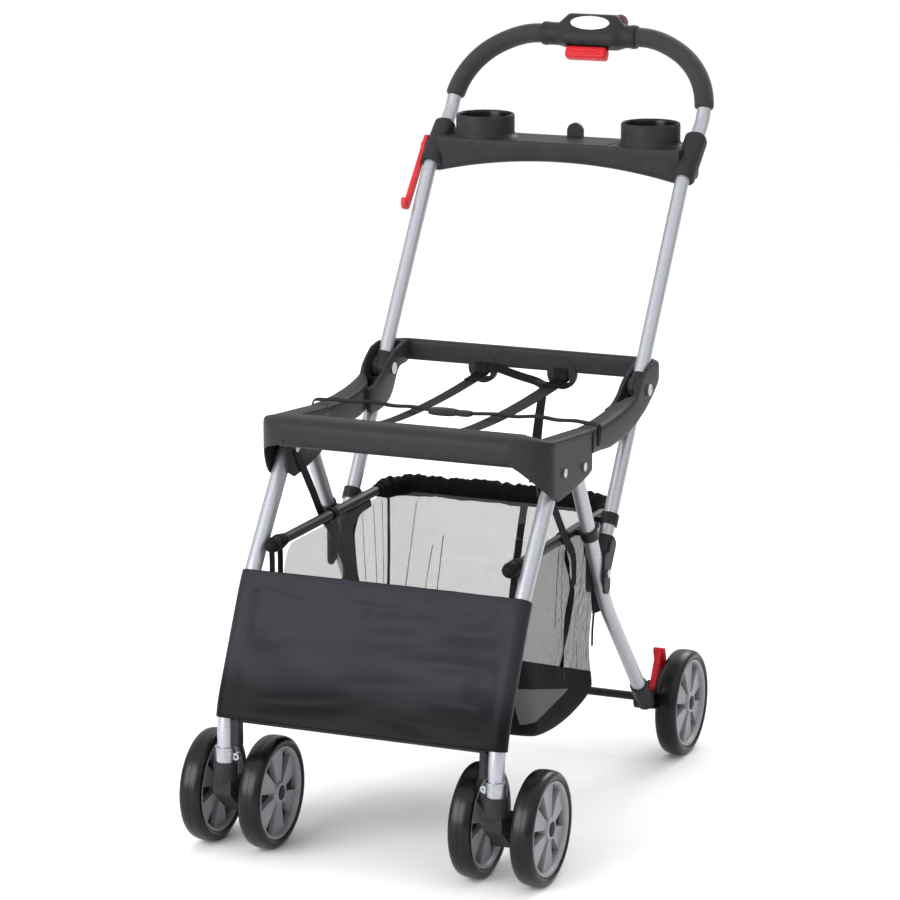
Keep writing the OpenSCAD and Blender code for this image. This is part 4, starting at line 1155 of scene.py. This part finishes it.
def make_grips():
    """Foam grips on the handle arch, with soft rounded ends."""
    start = arch_point(0, 20)
    for s, side in SIDES:
        corners = [(TUBE_X, -10), (TUBE_X, ARCH_H), (CUFF_X - 4, ARCH_H)]
        line = rounded_path([arch_point(s * x, w) for x, w in corners], [ARCH_CORNER], 24)
        line = [p for p in resample(line, 90) if p.z >= start.z]
        line = [p + ARCH_UP * RELEASE_RISE * (1 - ease((abs(p.x) - CUFF_X) / 70)) for p in line]
        bm = bmesh.new()
        sweep(bm, circle(GRIP_R, 32), line, ARCH_OUT, round_ends(26, 0.76))
        grip = finish_piece(f"foam_grip_{side}", bm, "foam_rubber", "handle", [f"grip_{side}"], smooth_deg=60)


def make_knuckles():
    """Handle hinges: a grooved barrel with a short collar on each tube, and a boot on the tube below."""
    up = Vector((0, 171, 261)).normalized()
    down = Vector((0, -147.5, -226)).normalized()
    barrel = [(-10.7, 4.5), (-10.7, 14.4), (-9.8, 15.8), (-8.6, 16.3), (-1.6, 16.3), (-1.0, 15.2)]
    collar = [(5, 1.12), (12, 1.1), (16, 1.06), (19, 1.02), (21, 1.0), (22, 0.95)]
    last = len(collar) - 1
    for s, side in SIDES:
        hinge = Vector((s * TUBE_X, *HINGE))
        bm = bmesh.new()
        spin(bm, mirrored(barrel), 48)
        bmesh.ops.translate(bm, vec=hinge, verts=bm.verts)
        line = [hinge + up * d for d, _ in collar]
        sweep(bm, circle(11.4), line, (1, 0, 0), lambda t: [collar[round(t * last)][1]] * 2)
        finish_piece(f"hinge_barrel_{side}", bm, "black_plastic", "handle", [f"handle_knuckle_{side}"])
        bm = bmesh.new()
        sweep(bm, circle(11.4), [hinge + down * d for d in (19, 24, 30, 36)], (1, 0, 0))
        finish_piece(f"hinge_boot_{side}", bm, "black_plastic", "main_frame", [f"knuckle_base_{side}"])


# Console


def console_section(x):
    """Front, underside and back of the console at x, as points [y, z] from edge to edge of its top."""
    low = CONSOLE_LOW - (CONSOLE_ARCH_R - math.sqrt(CONSOLE_ARCH_R**2 - x * x))
    r = CONSOLE_EDGE_R
    front = [(1.9, CONSOLE_TOP), (0.5, CONSOLE_TOP - 0.7), (0, CONSOLE_TOP - 2.5), (0, CONSOLE_TOP - 8)]
    for k in range(7):
        turn = math.radians(15 * k)
        front.append((r * (1 - math.cos(turn)), low + r * (1 - math.sin(turn))))
    return [(CONSOLE_FRONT + y, z) for y, z in front] + [(CONSOLE_BACK - y, z) for y, z in reversed(front)]


def rectangle(half_x, y0, y1, z):
    """Loop of four corners, level."""
    return [Vector((x, y, z)) for x, y in ((-half_x, y0), (half_x, y0), (half_x, y1), (-half_x, y1))]


def edges_at(bm, axis, value):
    """Edges that lie in the plane where a coordinate has one value."""
    return [e for e in bm.edges if all(abs(v.co[axis] - value) < 0.01 for v in e.verts)]


def add_beam(bm):
    """Arched beam of the console, with the well in its top and the holes for the cups."""
    steps = 74
    ledge = 864.2
    loops = []
    for k in range(steps + 1):
        x = CONSOLE_HALF * (2 * k / steps - 1)
        loops.append([Vector((x, y, z)) for y, z in console_section(x)])
    loft(bm, loops, closed=False, caps=False)
    for s in (-1, 1):
        end = [e for e in edges_at(bm, 0, s * CONSOLE_HALF) if e.is_boundary]
        bmesh.ops.contextual_create(bm, geom=end)
    outer = (74.4, CONSOLE_FRONT + 2.9, CONSOLE_BACK - 7.1)
    inner = (72, CONSOLE_FRONT + 9.5, CONSOLE_BACK - 11.5)
    well = [(outer, CONSOLE_TOP), (outer, ledge), (inner, ledge), (inner, WELL_FLOOR)]
    loft(bm, [rectangle(*sides, z) for sides, z in well], caps=False)
    bmesh.ops.contextual_create(bm, geom=edges_at(bm, 2, WELL_FLOOR))
    hole = circle(CUP_WALL_R - 0.4, 48)
    for s in (-1, 1):
        ring = [bm.verts.new((s * CUP_X + x, CUP_Y + y, CONSOLE_TOP)) for x, y in hole]
        for a, b in zip(ring, ring[1:] + ring[:1]):
            bm.edges.new((a, b))
    top = [e for e in edges_at(bm, 2, CONSOLE_TOP) if len(e.link_faces) < 2]
    bmesh.ops.triangle_fill(bm, use_beauty=True, edges=top, normal=(0, 0, 1))


def add_cup(bm, side):
    """Cup holder: a thin wall with a round lip and a floor, flared where it meets the console's top."""
    wall = CUP_WALL_R
    floor = 838.5
    flare_top = 875
    profile = [
        (836, 0.01), (836, 36), (837.5, 40), (842, wall), (860, wall), (868, wall), (870, wall), (872, wall),
        (flare_top, wall), (896, wall), (898.8, wall - 0.6), (900, wall - 2), (898.8, wall - 3.4),
        (896, wall - 4), (845, wall - 4), (841, wall - 5.5), (floor, wall - 9), (floor, 0.01),
    ]
    old = set(bm.verts)
    spin(bm, profile, 64)
    fresh = [v for v in bm.verts if v not in old]
    bmesh.ops.rotate(bm, cent=(0, 0, 0), matrix=Matrix.Rotation(-math.pi / 2, 3, "Y"), verts=fresh)
    # Faces inside the cup take the second material, whose blacker colour is painted shade
    for f in {f for v in fresh for f in v.link_faces}:
        c = f.calc_center_median()
        if c.z > floor - 0.1 and math.hypot(c.x, c.y) < wall - 3.3:
            f.material_index = 1
    for v in fresh:
        r = math.hypot(v.co.x, v.co.y)
        if r > wall - 0.1 and 858 < v.co.z < flare_top:
            share = (flare_top - max(v.co.z, CONSOLE_TOP)) / (flare_top - CONSOLE_TOP)
            v.co.x *= 1 + 0.16 * share**2 * (v.co.x / r) ** 2
    bmesh.ops.translate(bm, vec=(side * CUP_X, CUP_Y, 0), verts=fresh)


def make_console():
    """Console between the handle tubes: beam, two cups, a sleeve on each tube and the boss of the hook."""
    along = Vector((0, 85, 76)).normalized()
    bm = bmesh.new()
    add_beam(bm)
    for s in (-1, 1):
        add_cup(bm, s)
        bend = Vector((s * TUBE_X, *HANDLE_BEND))
        line = [bend + along * (9 + 76 * k / 30) for k in range(31)]
        sweep(bm, soft_box(31, 31, 2.7, 40), line, (1, 0, 0), round_ends(16, 0.9))
    boss = Vector((-TUBE_X, *HANDLE_BEND)) + along * 40
    for r, reach in ((8, 16.5), (3, 25)):
        sweep(bm, circle(r), [boss - Vector((12, 0, 0)), boss - Vector((reach, 0, 0))], (0, 0, 1))
    moulding = finish_piece("console_moulding", bm, "black_plastic", "handle", ["console"], smooth_deg=40)
    # Second material: the same plastic with painted shade, for inside the cups
    moulding.data.materials.append(FINISH["painted_cup_shade"])


# Release


def cut_pocket(bm, low, high, floor_w):
    """Opens a pocket in the housing between two corners [x, w, n], with its walls drawn to a flat floor."""
    for corner in (low, high):
        for normal in (Vector((1, 0, 0)), ARCH_UP, ARCH_OUT):
            bisect(bm, arch_point(*corner), normal)
    gone = []
    for f in bm.faces:
        place = arch_read(f.calc_center_median())
        if all(a < c < b for a, c, b in zip(low, place, high)):
            gone.append(f)
    bmesh.ops.delete(bm, geom=gone, context="FACES")
    grown = bmesh.ops.extrude_edge_only(bm, edges=[e for e in bm.edges if e.is_boundary])["geom"]
    for g in grown:
        if isinstance(g, bmesh.types.BMVert):
            x, _, n = arch_read(g.co)
            g.co = arch_point(x, floor_w, n)
    bmesh.ops.remove_doubles(bm, verts=bm.verts, dist=0.001)
    bmesh.ops.dissolve_degenerate(bm, dist=0.001, edges=bm.edges)
    bmesh.ops.holes_fill(bm, edges=[e for e in bm.edges if e.is_boundary], sides=0)


def make_housing():
    """Housing in the middle of the arch: two cuffs, and pockets for the trigger and the lock button."""
    steps = 96
    loops = []
    for k in range(steps + 1):
        x = CUFF_X * (2 * k / steps - 1)
        cuff = ease((abs(x - BODY_X) - 34) / 20)
        ring = 0.8 * math.sin(math.pi * max(0, (abs(x) - 63) / 9))
        tall = 24.3 - 7.8 * cuff + ring
        deep = 20 - 3 * cuff + ring
        middle = ARCH_H + RELEASE_RISE + 5.2 * (1 - cuff)
        section = soft_box(2 * deep, 2 * tall, 3.3 - 1.3 * cuff, 44)
        loops.append([arch_point(x, middle + up, out) for out, up in section])
    bm = bmesh.new()
    loft(bm, loops)
    # Pockets for the trigger and for the lock button
    cut_pocket(bm, (-31.5, 90, -9.9), (31.5, 112, 9.9), 110.7)
    cut_pocket(bm, (26, 139, -5.3), (60, 160, 7.3), 139)
    shells = ["housing_top", "housing_bottom"]
    finish_piece("release_housing", bm, "black_plastic", "handle", shells, smooth_deg=40)


def make_plate():
    """Bare oval plate on the housing's front."""
    half_x, half_w, middle = 30, 10.4, 135.6
    loops = []
    for size, n in ((1.0, 16.0), (1.0, 20.6), (0.97, 21.1), (0.93, 21.3)):
        oval = [(BODY_X + half_x * x, middle + half_w * y) for x, y in circle(size, 48)]
        loops.append([arch_point(x, w, n) for x, w in oval])
    bm = bmesh.new()
    loft(bm, loops)
    finish_piece("bare_oval_plate", bm, "pale_plate", "handle")


def make_trigger():
    """Red trigger bar under the housing, with two ribs on its front."""
    steps = 48
    middle = 95.9
    loops = []
    for k in range(steps + 1):
        x = TRIGGER_HALF * (2 * k / steps - 1)
        r = rounded_end((TRIGGER_HALF - abs(x)) / 5, 0.74)
        loops.append([arch_point(x, middle + up * r, out * r) for out, up in soft_box(19, 18, 4, 32)])
    bm = bmesh.new()
    loft(bm, loops)
    for w in (92.5, 98.5):
        sweep(bm, soft_box(3.4, 3, 3), [arch_point(x, w, 9.3) for x in (-22, -11, 0, 11, 22)], ARCH_OUT)
    finish_piece("release_trigger_bar", bm, "red_plastic", "release_trigger", ["trigger"], smooth_deg=40)


def make_lock_button():
    """Thumb button in the housing's top, domed and ribbed."""
    steps = 40
    start, long, bottom = 33, 20, 139.3
    loops = []
    for k in range(steps + 1):
        x = long * k / steps
        swell = math.sqrt(max(0.0, 1 - ((x - 10) / 10.6) ** 2))
        top = 147 + 10 * swell + 0.8 * swell * math.sin(math.pi * x / 2)
        section = soft_box(11.2, top - bottom, 4, 24)
        loops.append([arch_point(start + x, (bottom + top) / 2 + up, 1 + out) for out, up in section])
    bm = bmesh.new()
    loft(bm, loops)
    finish_piece(
        "lock_thumb_button", bm, "dulled_red", "release_lock", ["lock_button"], smooth_deg=40
    )


def dress_cad():
    """Gives every CAD node the finish of its slot."""
    for row in frame["record"]["subparts"]:
        node = frame["nodes"][row["node"]]
        node.data.materials.clear()
        node.data.materials.append(FINISH[row["material_slot"]])


make_camera()
make_stage()
FINISH = make_materials()
dress_cad()
make_wheels()
make_tray_front()
make_tray_rear()
make_panel()
make_basket()
make_sleeve()
make_seat_straps()
make_belt()
make_rail_webbing()
make_grips()
make_knuckles()
make_console()
make_housing()
make_plate()
make_trigger()
make_lock_button()
